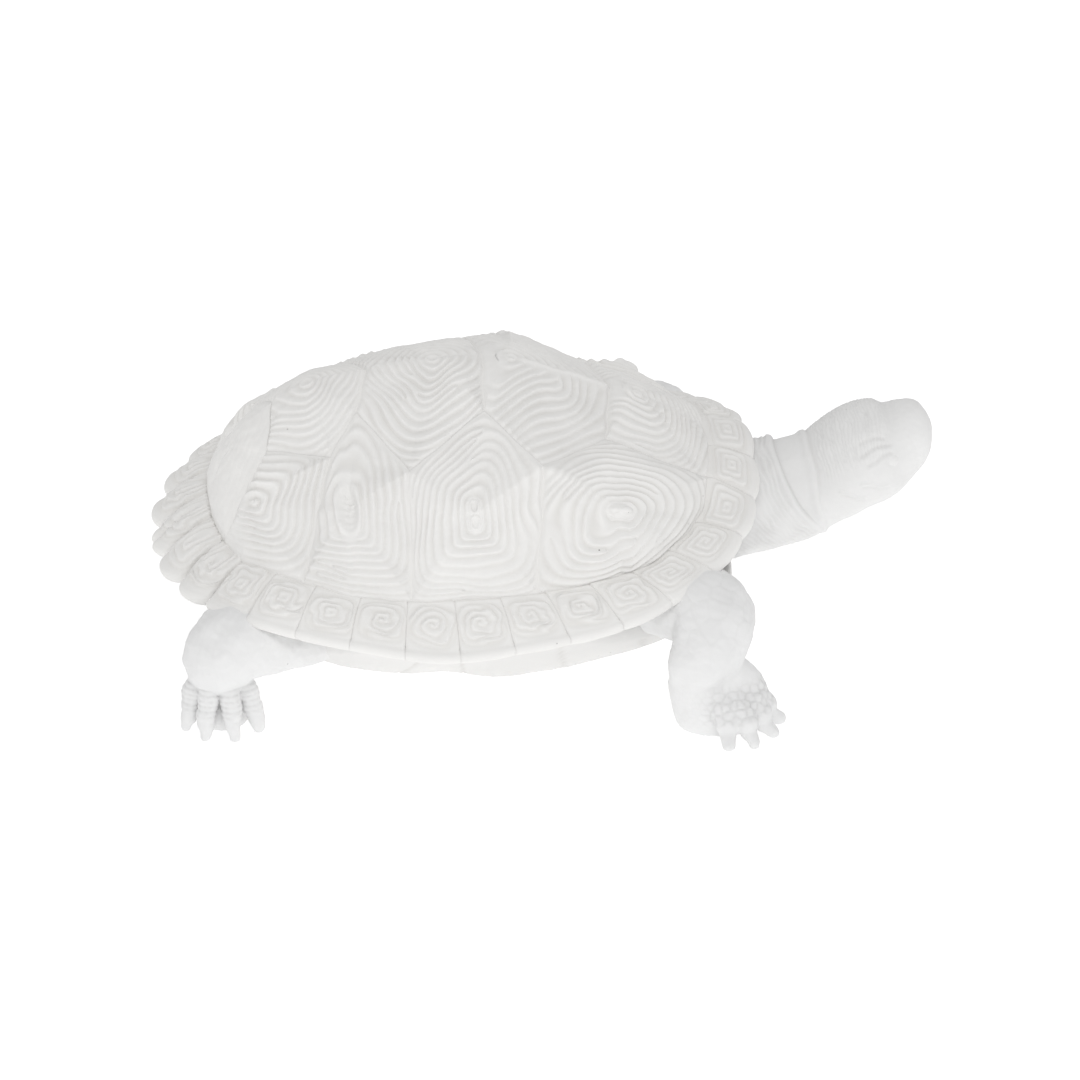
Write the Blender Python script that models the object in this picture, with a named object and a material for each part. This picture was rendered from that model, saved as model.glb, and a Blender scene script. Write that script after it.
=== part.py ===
"""Turtle figurine: a matt white casting of a basking turtle with a carved, stepped shell.

The real thing is one hollow or solid casting. Here it is parted by thin cuts into the
body parts that a person would name. X runs to the head, Y to the turtle's left, Z up.
The origin is on the ground, under the middle of the whole figurine. Units are metres.
"""

import math

import bmesh
import bpy
from mathutils import Matrix, Vector

# ---------------------------------------------------------------- driving dimensions

GAP = 0.0003                    # the thin cut between neighbouring parts
CROWN_X = -0.0463               # centre that the shell's outlines are drawn round
STEPS = 72                      # columns round the shell, 5 degrees each

# Outline of a shell edge: reach to the front, to the rear and to each side, and
# the power of its rounded-square corners in front and behind.
RIM_PLAN = (0.1278, 0.1046, 0.0897, 2.8, 2.2)
SEAM_PLAN = (0.1100, 0.0833, 0.0750, 2.7, 2.3)
PLASTRON_PLAN = (0.1150, 0.0700, 0.0590, 2.6, 2.2)

# Height of an edge at angles from the front (0) round either side to the tail (180).
RIM_HEIGHTS = ((0, 0.0795), (18, 0.0700), (33, 0.0615), (50, 0.0520), (68, 0.0483), (90, 0.0458),
               (112, 0.0515), (135, 0.0548), (160, 0.0520), (180, 0.0505))
SEAM_HEIGHTS = ((0, 0.0815), (14, 0.0780), (21, 0.0690), (30, 0.0648), (38, 0.0608), (50, 0.0598),
                (88, 0.0600), (112, 0.0620), (132, 0.0650), (155, 0.0640), (180, 0.0650))
PLASTRON_EDGES = ((0, 0.0220), (35, 0.0260), (60, 0.0385), (104, 0.0390), (130, 0.0300), (180, 0.0230))
PLASTRON_EDGE_LOW = 0.0190       # an edge at this height is plain, and one this much higher is a full wing:
PLASTRON_WING = 0.0200

# Corners of the large plates (scutes), with y on the left side.
CORNERS = {
    "keel_12": (0.0257, 0, 0.1040), "keel_23": (-0.0233, 0, 0.1215),
    "keel_34": (-0.0673, 0, 0.1190), "keel_45": (-0.1043, 0, 0.1068),
    "v12": (0.0205, 0.0296, 0.0983), "v2": (-0.0063, 0.0510, 0.1020),
    "v23": (-0.0261, 0.0280, 0.1123), "v3": (-0.0567, 0.0461, 0.1002),
    "v34": (-0.0730, 0.0183, 0.1091), "v4": (-0.0849, 0.0315, 0.0993),
    "v45": (-0.1083, 0.0180, 0.0945),
}
# Five middle plates: the boss, the crown half way out from it, and the corners on one side
# from front to rear. A number is an angle on the seam, and a pair of numbers follows the seam.
MIDDLE_PLATES = (
    ((0.0367, 0, 0.1005), 0.0026, (0, 15, "v12", "keel_12")),
    ((-0.0123, 0, 0.1200), 0.0004, ("keel_12", "v12", "v2", "v23", "keel_23")),
    ((-0.0423, 0, 0.1212), 0.0010, ("keel_23", "v23", "v3", "v34", "keel_34")),
    ((-0.0903, 0, 0.1150), 0.0010, ("keel_34", "v34", "v4", "v45", "keel_45")),
    ((-0.1203, 0, 0.0890), 0.0006, ("keel_45", "v45", 160, 180)),
)
SIDE_PLATES = (
    ((0.0221, 0.0575, 0.0840), 0.0044, (15, 65, "v2", "v12")),
    ((-0.0336, 0.0600, 0.0880), 0.0006, ("v2", 65, 100, "v3", "v23")),
    ((-0.0798, 0.0505, 0.0885), 0.0006, ("v3", 100, 130, "v4", "v34")),
    ((-0.1138, 0.0330, 0.0835), 0.0006, ("v4", 130, 160, "v45")),
)
# The left front side plate was carved further forward and a little hollow: its boss and crown.
LEFT_SHOULDER = ((0.0397, 0.0480, 0.0863), -0.0015)

MARGINALS = 32                  # edge plates round the rim, the nuchal and tail plates included
RIM_CUTS = 4                    # columns across one edge plate
RIM_THICKNESS = 0.0045          # at the outer edge
SHELL_THICKNESS = 0.0080        # at the seam between the dome and the rim
CEILING_CROWN = 0.1000          # highest point of the dome's inside
CEILING_RINGS = (0.68, 0.08)
PLASTRON_THICKNESS = 0.0070
BELLY_RINGS = (0.62, 0.86)
PLASTRON_FLOOR = 0.0080         # the plastron's flat underside, above the ground

HEAD_SIDES = 14
HEAD_SECTIONS = (               # x, z, half height, half width, tilt in degrees
    (0.1077, 0.0557, 0.0188, 0.0184, 26), (0.1140, 0.0595, 0.0193, 0.0206, 26),
    (0.1200, 0.0635, 0.0193, 0.0218, 24), (0.1262, 0.0668, 0.0196, 0.0218, 24),
    (0.1315, 0.0692, 0.0186, 0.0208, 22), (0.1372, 0.0710, 0.0152, 0.0168, 18),
    (0.1425, 0.0741, 0.0129, 0.0140, 12), (0.1475, 0.0757, 0.0106, 0.0116, 8),
    (0.1505, 0.0756, 0.0066, 0.0078, 4), (0.1516, 0.0752, 0.0028, 0.0034, 0),
)
NECK_SECTIONS = (
    (0.0350, 0.0470, 0.0180, 0.0220, 0), (0.0500, 0.0470, 0.0200, 0.0240, 0),
    (0.0700, 0.0490, 0.0220, 0.0240, 2), (0.0850, 0.0508, 0.0218, 0.0222, 6),
    (0.0960, 0.0526, 0.0212, 0.0208, 16), (0.1040, 0.0547, 0.0203, 0.0196, 24),
    (0.1100, 0.0571, 0.0194, 0.0188, 26),
)
NECK_TOP = (0.1075, 0.0578, 26)
EYE_RADIUS = 0.0050
EYE_AT = (0.1303, 0.0152, 0.0717)

LIMB_SIDES = 10
# Each limb runs along points x, y, z with a radius at each, on the left side.
FRONT_LEG = (((0.0240, 0.0300, 0.0370), 0.0135), ((0.0370, 0.0470, 0.0380), 0.0140),
             ((0.0475, 0.0610, 0.0425), 0.0154), ((0.0548, 0.0725, 0.0435), 0.0162),
             ((0.0524, 0.0812, 0.0350), 0.0142), ((0.0489, 0.0812, 0.0260), 0.0118),
             ((0.0510, 0.0762, 0.0100), 0.0116))
HIND_LEG = (((-0.0700, 0.0260, 0.0340), 0.0140), ((-0.0920, 0.0420, 0.0345), 0.0152),
            ((-0.1120, 0.0530, 0.0378), 0.0158), ((-0.1240, 0.0590, 0.0383), 0.0158),
            ((-0.1305, 0.0588, 0.0305), 0.0146), ((-0.1305, 0.0525, 0.0210), 0.0112),
            ((-0.1300, 0.0515, 0.0080), 0.0094))
TAIL = (((-0.0900, 0.0000, 0.0400), 0.0095), ((-0.1080, 0.0000, 0.0400), 0.0090),
        ((-0.1200, 0.0010, 0.0380), 0.0075), ((-0.1290, 0.0035, 0.0340), 0.0055),
        ((-0.1350, 0.0060, 0.0295), 0.0035), ((-0.1380, 0.0080, 0.0265), 0.0015))
FRONT_ANKLE, HIND_ANKLE = (0.0515, 0.0820, 0.0300), (-0.1305, 0.0583, 0.0278)
LEFT_HIND_STEP = (0.0090, -0.0020, 0.0)     # the left hind leg stands a step further on
TOE_SIDES = 6
# A foot: centre and size of its pad, toes by heading in degrees and reach, and for points along
# a toe its share of the reach, height and radius.
FRONT_FOOT = ((0.0580, 0.0800, 0.0085), (0.0185, 0.0138, 0.0205),
              ((-91, 0.0176), (-65, 0.0194), (-37, 0.0196), (-12, 0.0190), (24, 0.0180)),
              ((0.30, 0.0155, 0.0050), (0.64, 0.0124, 0.0053), (0.84, 0.0086, 0.0047), (0.93, 0.0052, 0.0031),
               (1.13, 0.0028, 0.0026)))
HIND_FOOT = ((-0.1300, 0.0520, 0.0060), (0.0112, 0.0106, 0.0110),
             ((-152, 0.0150), (-117, 0.0158), (-80, 0.0162), (-44, 0.0160)),
             ((0.66, 0.0215, 0.0036), (0.82, 0.0165, 0.0041), (0.94, 0.0110, 0.0040), (1.01, 0.0068, 0.0032),
              (1.10, 0.0026, 0.0020)))


# ---------------------------------------------------------------- scene and materials

def clear_scene():
    for item in list(bpy.data.objects):
        bpy.data.objects.remove(item)


def collection(name):
    group = bpy.data.collections.new(name)
    bpy.context.scene.collection.children.link(group)
    return group


def cast_white(name, warmth):
    """Matt white casting; warmth tints a part's white a little."""
    material = bpy.data.materials.new(name)
    material.use_nodes = True
    shader = material.node_tree.nodes["Principled BSDF"]
    shader.inputs["Base Color"].default_value = (0.80, 0.80 - 0.006 * warmth, 0.80 - 0.018 * warmth, 1)
    shader.inputs["Roughness"].default_value = 0.85
    shader.inputs["Metallic"].default_value = 0.0
    return material


def add_object(name, mesh_data, group, warmth=1.0):
    item = bpy.data.objects.new(name, mesh_data)
    group.objects.link(item)
    item.data.materials.append(cast_white(name + "_finish", warmth))
    return item


def mesh_from(bm, name):
    """Triangles, so that neighbours along a thin cut are split the same way."""
    bmesh.ops.triangulate(bm, faces=bm.faces, quad_method="FIXED", ngon_method="EAR_CLIP")
    bmesh.ops.recalc_face_normals(bm, faces=bm.faces)
    mesh = bpy.data.meshes.new(name)
    bm.to_mesh(mesh)
    bm.free()
    mesh.shade_smooth()
    mesh.set_sharp_from_angle(angle=math.radians(35))
    return mesh


# ---------------------------------------------------------------- lofts and booleans

def add_loft(bm, sections, wrap=False):
    """Skin between closed sections of equal count; wrap joins the last to the first."""
    rows = [[bm.verts.new(point) for point in section] for section in sections]
    pairs = list(zip(rows, rows[1:]))
    if wrap:
        pairs.append((rows[-1], rows[0]))
    for row, following in pairs:
        for i in range(len(row)):
            j = (i + 1) % len(row)
            bm.faces.new((row[i], row[j], following[j], following[i]))
    if not wrap:
        bm.faces.new(rows[0])
        bm.faces.new(rows[-1])
    return rows


def loft(name, sections, wrap=False):
    bm = bmesh.new()
    add_loft(bm, sections, wrap)
    return mesh_from(bm, name)


def flip_side(mesh):
    """Mirror a left-side mesh to the right."""
    mesh.transform(Matrix.Scale(-1, 4, Vector((0, 1, 0))))
    mesh.flip_normals()
    return mesh


def keep_side(mesh, point, normal):
    """Cut a closed mesh by a plane and keep the part that the normal points to."""
    bm = bmesh.new()
    bm.from_mesh(mesh)
    every = bm.verts[:] + bm.edges[:] + bm.faces[:]
    cut = bmesh.ops.bisect_plane(bm, geom=every, dist=1e-7, plane_co=point, plane_no=normal,
                                 clear_inner=True)
    rim = [item for item in cut["geom_cut"] if isinstance(item, bmesh.types.BMEdge)]
    bmesh.ops.contextual_create(bm, geom=rim)
    result = mesh_from(bm, mesh.name)
    bpy.data.meshes.remove(mesh)
    return result


def boolean(target, operation, tools, cutters):
    """Join or cut target with meshes, and leave the result in target's own mesh."""
    for number, tool_mesh in enumerate(tools):
        tool = bpy.data.objects.new(f"{target.name}_tool_{number}", tool_mesh)
        cutters.objects.link(tool)
        tool.hide_render = True
        tool.display_type = "WIRE"
        step = target.modifiers.new(f"{operation.lower()}_{number}", "BOOLEAN")
        step.operation = operation
        step.solver = "EXACT"
        step.object = tool


# ---------------------------------------------------------------- shell outlines

def height_at(keys, degrees):
    """Smooth height through (angle, height) keys, the same on both sides."""
    angle = abs((degrees + 180) % 360 - 180)
    spots = [key[0] for key in keys]
    index = max(i for i, spot in enumerate(spots[:-1]) if spot <= angle)
    slopes = []
    for i in (index, index + 1):
        before, after = max(i - 1, 0), min(i + 1, len(keys) - 1)
        rise = (keys[after][1] - keys[before][1]) / (spots[after] - spots[before])
        slopes.append(0.0 if i in (0, len(keys) - 1) else rise)
    width = spots[index + 1] - spots[index]
    t = (angle - spots[index]) / width
    return (keys[index][1] * (1 + 2 * t) * (1 - t) ** 2 + slopes[0] * width * t * (1 - t) ** 2
            + keys[index + 1][1] * t * t * (3 - 2 * t) + slopes[1] * width * t * t * (t - 1))


def plan_radius(plan, degrees):
    front, rear, side, front_power, rear_power = plan
    across, along = abs(math.sin(math.radians(degrees))), math.cos(math.radians(degrees))
    reach, power = (front, front_power) if along >= 0 else (rear, rear_power)
    return ((abs(along) / reach) ** power + (across / side) ** power) ** (-1 / power)


def plan_point(plan, degrees, fraction=1.0, grow=0.0):
    radius = plan_radius(plan, degrees) * fraction + grow
    angle = math.radians(degrees)
    return CROWN_X + radius * math.cos(angle), radius * math.sin(angle)


def seam_point(degrees):
    return Vector((*plan_point(SEAM_PLAN, degrees), height_at(SEAM_HEIGHTS, degrees)))


def ceiling(degrees, fraction):
    """Height of the dome's inside at a fraction of the way from its centre to the seam."""
    edge = height_at(SEAM_HEIGHTS, degrees) - SHELL_THICKNESS
    return edge + (CEILING_CROWN - edge) * (1 - fraction ** 2)


def ring_angles():
    return [360 * step / STEPS for step in range(STEPS)]


def ceiling_rings(drop, fractions, plan_grow=0.0):
    return [[(*plan_point(SEAM_PLAN, angle, fraction, plan_grow), ceiling(angle, fraction) - drop)
             for angle in ring_angles()] for fraction in fractions]


# ---------------------------------------------------------------- carapace and its rim

def corner(spec, side):
    if isinstance(spec, str):
        x, y, z = CORNERS[spec]
        return Vector((x, y * side, z))
    return seam_point(spec * side)


def side_outline(specs, side):
    """Points along a chain of corners, in 5-degree steps where it follows the seam."""
    points = []
    for start, end in zip(specs, specs[1:]):
        if isinstance(start, str) or isinstance(end, str):
            first, last = corner(start, side), corner(end, side)
            cuts = max(2, round((last - first).length / 0.012))
            points += [first.lerp(last, cut / cuts) for cut in range(cuts)]
        else:
            pitch = 360 // STEPS * (1 if end > start else -1)
            points += [seam_point(angle * side) for angle in range(start, end, pitch)]
    return points


def plate_outline(specs, middle, side=1):
    if not middle:
        return side_outline(specs + specs[:1], side)
    left = side_outline(specs, 1) + [corner(specs[-1], 1)]
    right = side_outline(specs, -1)[1:]
    return left + right[::-1]


def add_plate(bm, boss, crown, outline):
    """A low pyramid: the outline, a ring half way up that the crown raises, and the boss."""
    peak = Vector(boss)
    half = [peak.lerp(point, 0.5) + Vector((0, 0, crown)) for point in outline]
    rows = [[bm.verts.new(point) for point in row] for row in (outline, half)]
    tip = bm.verts.new(peak)
    for i in range(len(outline)):
        j = (i + 1) % len(outline)
        bm.faces.new((rows[0][i], rows[0][j], rows[1][j], rows[1][i]))
        bm.faces.new((rows[1][i], rows[1][j], tip))


def make_carapace(parts):
    bm = bmesh.new()
    for boss, crown, specs in MIDDLE_PLATES:
        add_plate(bm, boss, crown, plate_outline(specs, True))
    for number, (boss, crown, specs) in enumerate(SIDE_PLATES):
        for side in (1, -1):
            place, rise = (boss[0], boss[1] * side, boss[2]), crown
            if (number, side) == (0, 1):
                place, rise = LEFT_SHOULDER
            add_plate(bm, place, rise, plate_outline(specs, False, side))
    rings = [[seam_point(angle) for angle in ring_angles()]] + ceiling_rings(0, (1.0, *CEILING_RINGS))
    rows = [[bm.verts.new(point) for point in ring] for ring in rings]
    for row, following in zip(rows, rows[1:]):
        for i in range(STEPS):
            j = (i + 1) % STEPS
            bm.faces.new((row[i], row[j], following[j], following[i]))
    bm.faces.new(rows[-1])
    bmesh.ops.remove_doubles(bm, verts=bm.verts, dist=1e-5)
    add_object("carapace", mesh_from(bm, "carapace"), parts, 1.4)


def marginal_angles():
    """Angles of the edge plates' borders, spaced evenly along the middle of the rim."""
    fine = [0.25 * step for step in range(1441)]
    reach = [0.0]
    previous = None
    for angle in fine:
        inner, outer = plan_point(SEAM_PLAN, angle), plan_point(RIM_PLAN, angle)
        spot = Vector(((inner[0] + outer[0]) / 2, (inner[1] + outer[1]) / 2))
        if previous is not None:
            reach.append(reach[-1] + (spot - previous).length)
        previous = spot
    borders = []
    for number in range(MARGINALS):
        spot = number + 0.5
        spot += 0.17 * (math.exp(-spot / 4) - math.exp(-(MARGINALS - spot) / 4))
        target = reach[-1] * spot / MARGINALS
        index = next(i for i, length in enumerate(reach) if length >= target)
        share = (target - reach[index - 1]) / (reach[index] - reach[index - 1])
        borders.append(fine[index - 1] + share * (fine[index] - fine[index - 1]))
    return borders


def notch_depth(degrees):
    """The edge plates are nearly straight at the front and deeply toothed at the tail."""
    angle = abs((degrees + 180) % 360 - 180)
    tail = max(0.0, min(1.0, (angle - 115) / 35))
    nose = max(0.0, min(1.0, (60 - angle) / 40))
    return 0.0008 + 0.0052 * tail * tail * (3 - 2 * tail) + 0.0006 * nose


def rim_section(degrees, lobe, grow):
    """Cross-section of the rim; lobe runs from 0 to 1 across one edge plate."""
    pinch = notch_depth(degrees) * abs(2 * lobe - 1) ** 2.6
    inner_z, outer_z = height_at(SEAM_HEIGHTS, degrees), height_at(RIM_HEIGHTS, degrees)
    inner = plan_point(SEAM_PLAN, degrees, grow=GAP - grow)
    outer = plan_point(RIM_PLAN, degrees, grow=grow - pinch)
    middle = [(a + b) / 2 for a, b in zip(inner, outer)]
    crown = (inner_z + outer_z) / 2 + 0.0012
    return [(*inner, inner_z - 0.0010 + grow), (*middle, crown + grow), (*outer, outer_z + grow),
            (*outer, outer_z - RIM_THICKNESS - grow),
            (*inner, inner_z - SHELL_THICKNESS - 0.0010 - grow)]


def rim_mesh(name, grow=0.0):
    borders = marginal_angles()
    columns = []
    for number, start in enumerate(borders):
        end = borders[(number + 1) % MARGINALS] + (360 if number == MARGINALS - 1 else 0)
        columns += [rim_section(start + (end - start) * cut / RIM_CUTS, cut / RIM_CUTS, grow)
                    for cut in range(RIM_CUTS)]
    return loft(name, columns, wrap=True)


# ---------------------------------------------------------------- plastron and trunk

def plastron_rings(lift, fractions, plan_grow=0.0):
    """Rings of the bowl-shaped belly plate; its wings rise as bridges to the rim."""
    rings = []
    for fraction in fractions:
        ring = []
        for angle in ring_angles():
            edge = height_at(PLASTRON_EDGES, angle)
            wing = max(0.0, (edge - PLASTRON_EDGE_LOW) / PLASTRON_WING)
            curl = max(0.0, (fraction - BELLY_RINGS[0]) / (1 - BELLY_RINGS[0])) ** 2.6
            spread = 1 + 0.26 * wing * fraction ** 3
            x, y = plan_point(PLASTRON_PLAN, angle, fraction * spread, plan_grow)
            ring.append((x, y, PLASTRON_FLOOR + (edge - PLASTRON_FLOOR) * curl + lift))
        rings.append(ring)
    return rings


def plastron_mesh(name, grow=0.0):
    floor = plastron_rings(-grow, (1.0, *BELLY_RINGS[::-1]), grow)
    roof = plastron_rings(PLASTRON_THICKNESS + grow, BELLY_RINGS)
    edge = [[(x, y, z + PLASTRON_THICKNESS / 2 + 3 * grow) for x, y, z in floor[0]]]
    return loft(name, roof + edge + floor)


def trunk_mesh(name, grow=0.0):
    """The body between the shells: the dome's inside above, the belly plate below."""
    bottom = plastron_rings(PLASTRON_THICKNESS + GAP - grow, BELLY_RINGS, grow)
    top = ceiling_rings(GAP - grow, CEILING_RINGS, grow)
    return loft(name, bottom + top)


def clear_of_shell(item, cutters):
    """Cut a neck, tail or leg back from the shell parts and the trunk by the thin gap."""
    tools = [rim_mesh(item.name + "_rim", GAP), plastron_mesh(item.name + "_belly", 2 * GAP),
             trunk_mesh(item.name + "_trunk", GAP)]
    boolean(item, "DIFFERENCE", tools, cutters)


# ---------------------------------------------------------------- head, neck and limbs

def oval(x, z, half_height, half_width, tilt, sides):
    lean = math.radians(tilt)
    ring = []
    for step in range(sides):
        turn = 2 * math.pi * step / sides
        up, across = half_height * math.cos(turn), half_width * math.sin(turn)
        ring.append((x - up * math.sin(lean), across, z + up * math.cos(lean)))
    return ring


def smooth_path(limb, per_span=2):
    """Catmull-Rom path through a limb's points, with the radius carried along."""
    knots = [Vector((*place, radius)) for place, radius in limb]
    knots = [2 * knots[0] - knots[1]] + knots + [2 * knots[-1] - knots[-2]]
    path = []
    for i in range(1, len(knots) - 2):
        a, b, c, d = knots[i - 1:i + 3]
        for step in range(per_span):
            t = step / per_span
            path.append(0.5 * (2 * b + (c - a) * t + (2 * a - 5 * b + 4 * c - d) * t * t
                               + (3 * b - a - 3 * c + d) * t ** 3))
    path.append(knots[-2])
    return path


def tube(name, limb, sides, per_span=2):
    """Round sections along a limb, carried along it without twist."""
    path = smooth_path(limb, per_span)
    sections = []
    out = Vector((0, 0, 1))
    for index, knot in enumerate(path):
        before, after = path[max(index - 1, 0)].to_3d(), path[min(index + 1, len(path) - 1)].to_3d()
        heading = (after - before).normalized()
        out = (out - heading * out.dot(heading)).normalized()
        other = heading.cross(out)
        turns = [2 * math.pi * step / sides for step in range(sides)]
        sections.append([knot.to_3d() + knot.w * (out * math.cos(turn) + other * math.sin(turn))
                         for turn in turns])
    return loft(name, sections)


def toe_mesh(name, foot, heading, reach):
    """A toe from inside the pad to its knuckle, narrowing into a blunt claw."""
    centre = Vector(foot[0])
    angle = math.radians(-heading)
    ahead = Vector((math.cos(angle), math.sin(angle), 0))
    spots = [(centre + ahead * reach * share, height, radius) for share, height, radius in foot[3]]
    limb = [((spot.x, spot.y, height), radius) for spot, height, radius in spots]
    return tube(name, limb, TOE_SIDES, per_span=1)


def pad_mesh(name, foot):
    bm = bmesh.new()
    bmesh.ops.create_uvsphere(bm, u_segments=12, v_segments=8, radius=1.0)
    bmesh.ops.scale(bm, vec=foot[1], verts=bm.verts)
    bmesh.ops.translate(bm, vec=foot[0], verts=bm.verts)
    return mesh_from(bm, name)


def ground_mesh(name):
    """A block whose top is the ground; it cuts the soles flat."""
    bm = bmesh.new()
    bmesh.ops.create_cube(bm, size=0.4)
    bmesh.ops.translate(bm, vec=(0, 0, -0.2), verts=bm.verts)
    return mesh_from(bm, name)


def direction_at(limb, point):
    """Heading of a limb's path where it passes nearest to a point."""
    path = [knot.to_3d() for knot in smooth_path(limb, 6)]
    near = min(range(1, len(path) - 1), key=lambda i: (path[i] - Vector(point)).length)
    return (path[near + 1] - path[near - 1]).normalized()


def make_leg(end, limb, foot, ankle, parts, cutters):
    """Leg and foot on both sides, parted at the ankle."""
    way, place = direction_at(limb, ankle), Vector(ankle)
    for side in ("left", "right"):
        name = f"{end}_leg_{side}"
        leg = keep_side(tube(name, limb, LIMB_SIDES), place - way * GAP / 2, -way)
        shank = tube(f"{end}_foot_{side}", limb[-4:], LIMB_SIDES)
        shank = keep_side(shank, place + way * GAP / 2, way)
        pieces = [pad_mesh(f"{end}_pad_{side}", foot)]
        pieces += [toe_mesh(f"{end}_toe_{side}_{number}", foot, heading, reach)
                   for number, (heading, reach) in enumerate(foot[2])]
        pieces = [keep_side(piece, place + way * GAP / 2, way) for piece in pieces]
        if side == "right":
            leg, shank, pieces = flip_side(leg), flip_side(shank), [flip_side(piece) for piece in pieces]
        elif end == "hind":
            for mesh in (leg, shank, *pieces):
                mesh.transform(Matrix.Translation(LEFT_HIND_STEP))
        clear_of_shell(add_object(name, leg, parts, 0.6), cutters)
        foot_object = add_object(f"{end}_foot_{side}", shank, parts, 0.6)
        boolean(foot_object, "UNION", pieces, cutters)
        boolean(foot_object, "DIFFERENCE", [ground_mesh(f"{end}_ground_{side}")], cutters)


def ball_mesh(name, centre, radius):
    bm = bmesh.new()
    bmesh.ops.create_uvsphere(bm, u_segments=12, v_segments=6, radius=radius)
    bmesh.ops.translate(bm, vec=centre, verts=bm.verts)
    return mesh_from(bm, name)


def make_head(parts, cutters):
    """Head and neck, parted at the second neck fold, with an eye in each socket."""
    place, lean = Vector((NECK_TOP[0], 0, NECK_TOP[1])), math.radians(NECK_TOP[2])
    way = Vector((math.cos(lean), 0, math.sin(lean)))
    head = loft("head", [oval(*section, HEAD_SIDES) for section in HEAD_SECTIONS])
    head_object = add_object("head", keep_side(head, place + way * GAP, way), parts, 0.8)
    neck = loft("neck", [oval(*section, HEAD_SIDES) for section in NECK_SECTIONS])
    clear_of_shell(add_object("neck", keep_side(neck, place, -way), parts, 0.7), cutters)
    sockets = []
    for side, sign in (("left", 1), ("right", -1)):
        centre = Vector((EYE_AT[0], EYE_AT[1] * sign, EYE_AT[2]))
        add_object(f"eye_{side}", ball_mesh(f"eye_{side}", centre, EYE_RADIUS), parts, 0.4)
        sockets.append(ball_mesh(f"socket_{side}", centre, EYE_RADIUS + GAP))
    boolean(head_object, "DIFFERENCE", sockets, cutters)


def build():
    clear_scene()
    parts = collection("turtle_figurine")
    cutters = collection("cutters")
    make_carapace(parts)
    add_object("carapace_rim", rim_mesh("carapace_rim"), parts, 1.2)
    add_object("plastron", plastron_mesh("plastron"), parts, 1.0)
    add_object("trunk", trunk_mesh("trunk"), parts, 0.6)
    make_head(parts, cutters)
    clear_of_shell(add_object("tail", tube("tail", TAIL, 10), parts, 0.7), cutters)
    make_leg("front", FRONT_LEG, FRONT_FOOT, FRONT_ANKLE, parts, cutters)
    make_leg("hind", HIND_LEG, HIND_FOOT, HIND_ANKLE, parts, cutters)


build()
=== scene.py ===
import math

import bpy
import numpy as np
from mathutils import Matrix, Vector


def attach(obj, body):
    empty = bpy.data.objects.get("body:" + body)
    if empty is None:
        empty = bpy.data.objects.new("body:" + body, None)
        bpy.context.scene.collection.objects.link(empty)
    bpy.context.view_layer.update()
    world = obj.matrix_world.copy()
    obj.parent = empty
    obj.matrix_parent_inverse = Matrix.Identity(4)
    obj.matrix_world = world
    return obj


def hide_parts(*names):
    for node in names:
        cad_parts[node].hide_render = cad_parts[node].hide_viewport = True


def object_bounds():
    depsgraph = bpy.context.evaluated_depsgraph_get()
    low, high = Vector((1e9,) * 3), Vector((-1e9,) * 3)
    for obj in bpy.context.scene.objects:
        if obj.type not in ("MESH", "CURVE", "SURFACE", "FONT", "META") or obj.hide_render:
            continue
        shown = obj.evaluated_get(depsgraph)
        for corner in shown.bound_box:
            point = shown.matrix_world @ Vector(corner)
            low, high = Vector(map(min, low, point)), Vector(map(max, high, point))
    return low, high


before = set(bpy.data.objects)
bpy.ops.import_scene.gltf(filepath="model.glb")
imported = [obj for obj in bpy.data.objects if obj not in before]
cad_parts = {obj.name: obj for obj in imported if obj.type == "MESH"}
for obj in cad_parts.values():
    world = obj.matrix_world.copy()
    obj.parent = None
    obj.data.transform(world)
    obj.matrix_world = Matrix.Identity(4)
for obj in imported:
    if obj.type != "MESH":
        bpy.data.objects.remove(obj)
cad_low, cad_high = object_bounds()

# ------------------------------------------------------------------ table, camera and lamps
# The figurine stands on a plain white sweep. A soft lamp high on the camera's side, a weak low
# one by the head and the bright sweep itself light it, so what faces up is a little darker
# than what faces the camera or down. The plain view keeps whites white.
AZIMUTH, ELEVATION = math.radians(-7.7), math.radians(32)
AIM = (-0.0031, -0.0161, 0.0471)
CAMERA_DISTANCE, CAMERA_LENS = 2.2, 190.7
SWEEP_SIZE, SWEEP_GLOW = 14, 0.46
WORLD_LIGHT = 0.64

bpy.ops.mesh.primitive_plane_add(size=SWEEP_SIZE, location=(0, 0, cad_low.z - 0.0002))
sweep = bpy.context.object
sweep.name = "white_sweep"
sweep_paint = bpy.data.materials.new("white_sweep_paint")
sweep_paint.use_nodes = True
sweep_shader = sweep_paint.node_tree.nodes["Principled BSDF"]
for label, value in (("Base Color", (0.93, 0.93, 0.93, 1)), ("Roughness", 0.95),
                     ("Specular IOR Level", 0.1), ("Emission Color", (1, 1, 1, 1)),
                     ("Emission Strength", SWEEP_GLOW)):
    sweep_shader.inputs[label].default_value = value
sweep.data.materials.append(sweep_paint)

camera = bpy.data.objects.new("camera", bpy.data.cameras.new("camera"))
bpy.context.scene.collection.objects.link(camera)
camera.data.lens = CAMERA_LENS
camera.data.clip_end = 20
bpy.context.scene.camera = camera


def aim(item, target, azimuth, elevation, distance):
    """Puts a camera or lamp at an azimuth and elevation from a target, and turns it to face it."""
    item.location = (target[0] + distance * math.sin(azimuth) * math.cos(elevation),
                     target[1] - distance * math.cos(azimuth) * math.cos(elevation),
                     target[2] + distance * math.sin(elevation))
    item.rotation_euler = (math.pi / 2 - elevation, 0, azimuth)


def soft_lamp(name, azimuth, elevation, distance, size, watts):
    """A square soft lamp aimed at the shell from an azimuth and elevation in degrees."""
    lamp = bpy.data.objects.new(name, bpy.data.lights.new(name, "AREA"))
    lamp.data.size, lamp.data.energy = size, watts
    aim(lamp, (0, 0, 0.05), math.radians(azimuth), math.radians(elevation), distance)
    bpy.context.scene.collection.objects.link(lamp)


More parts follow.
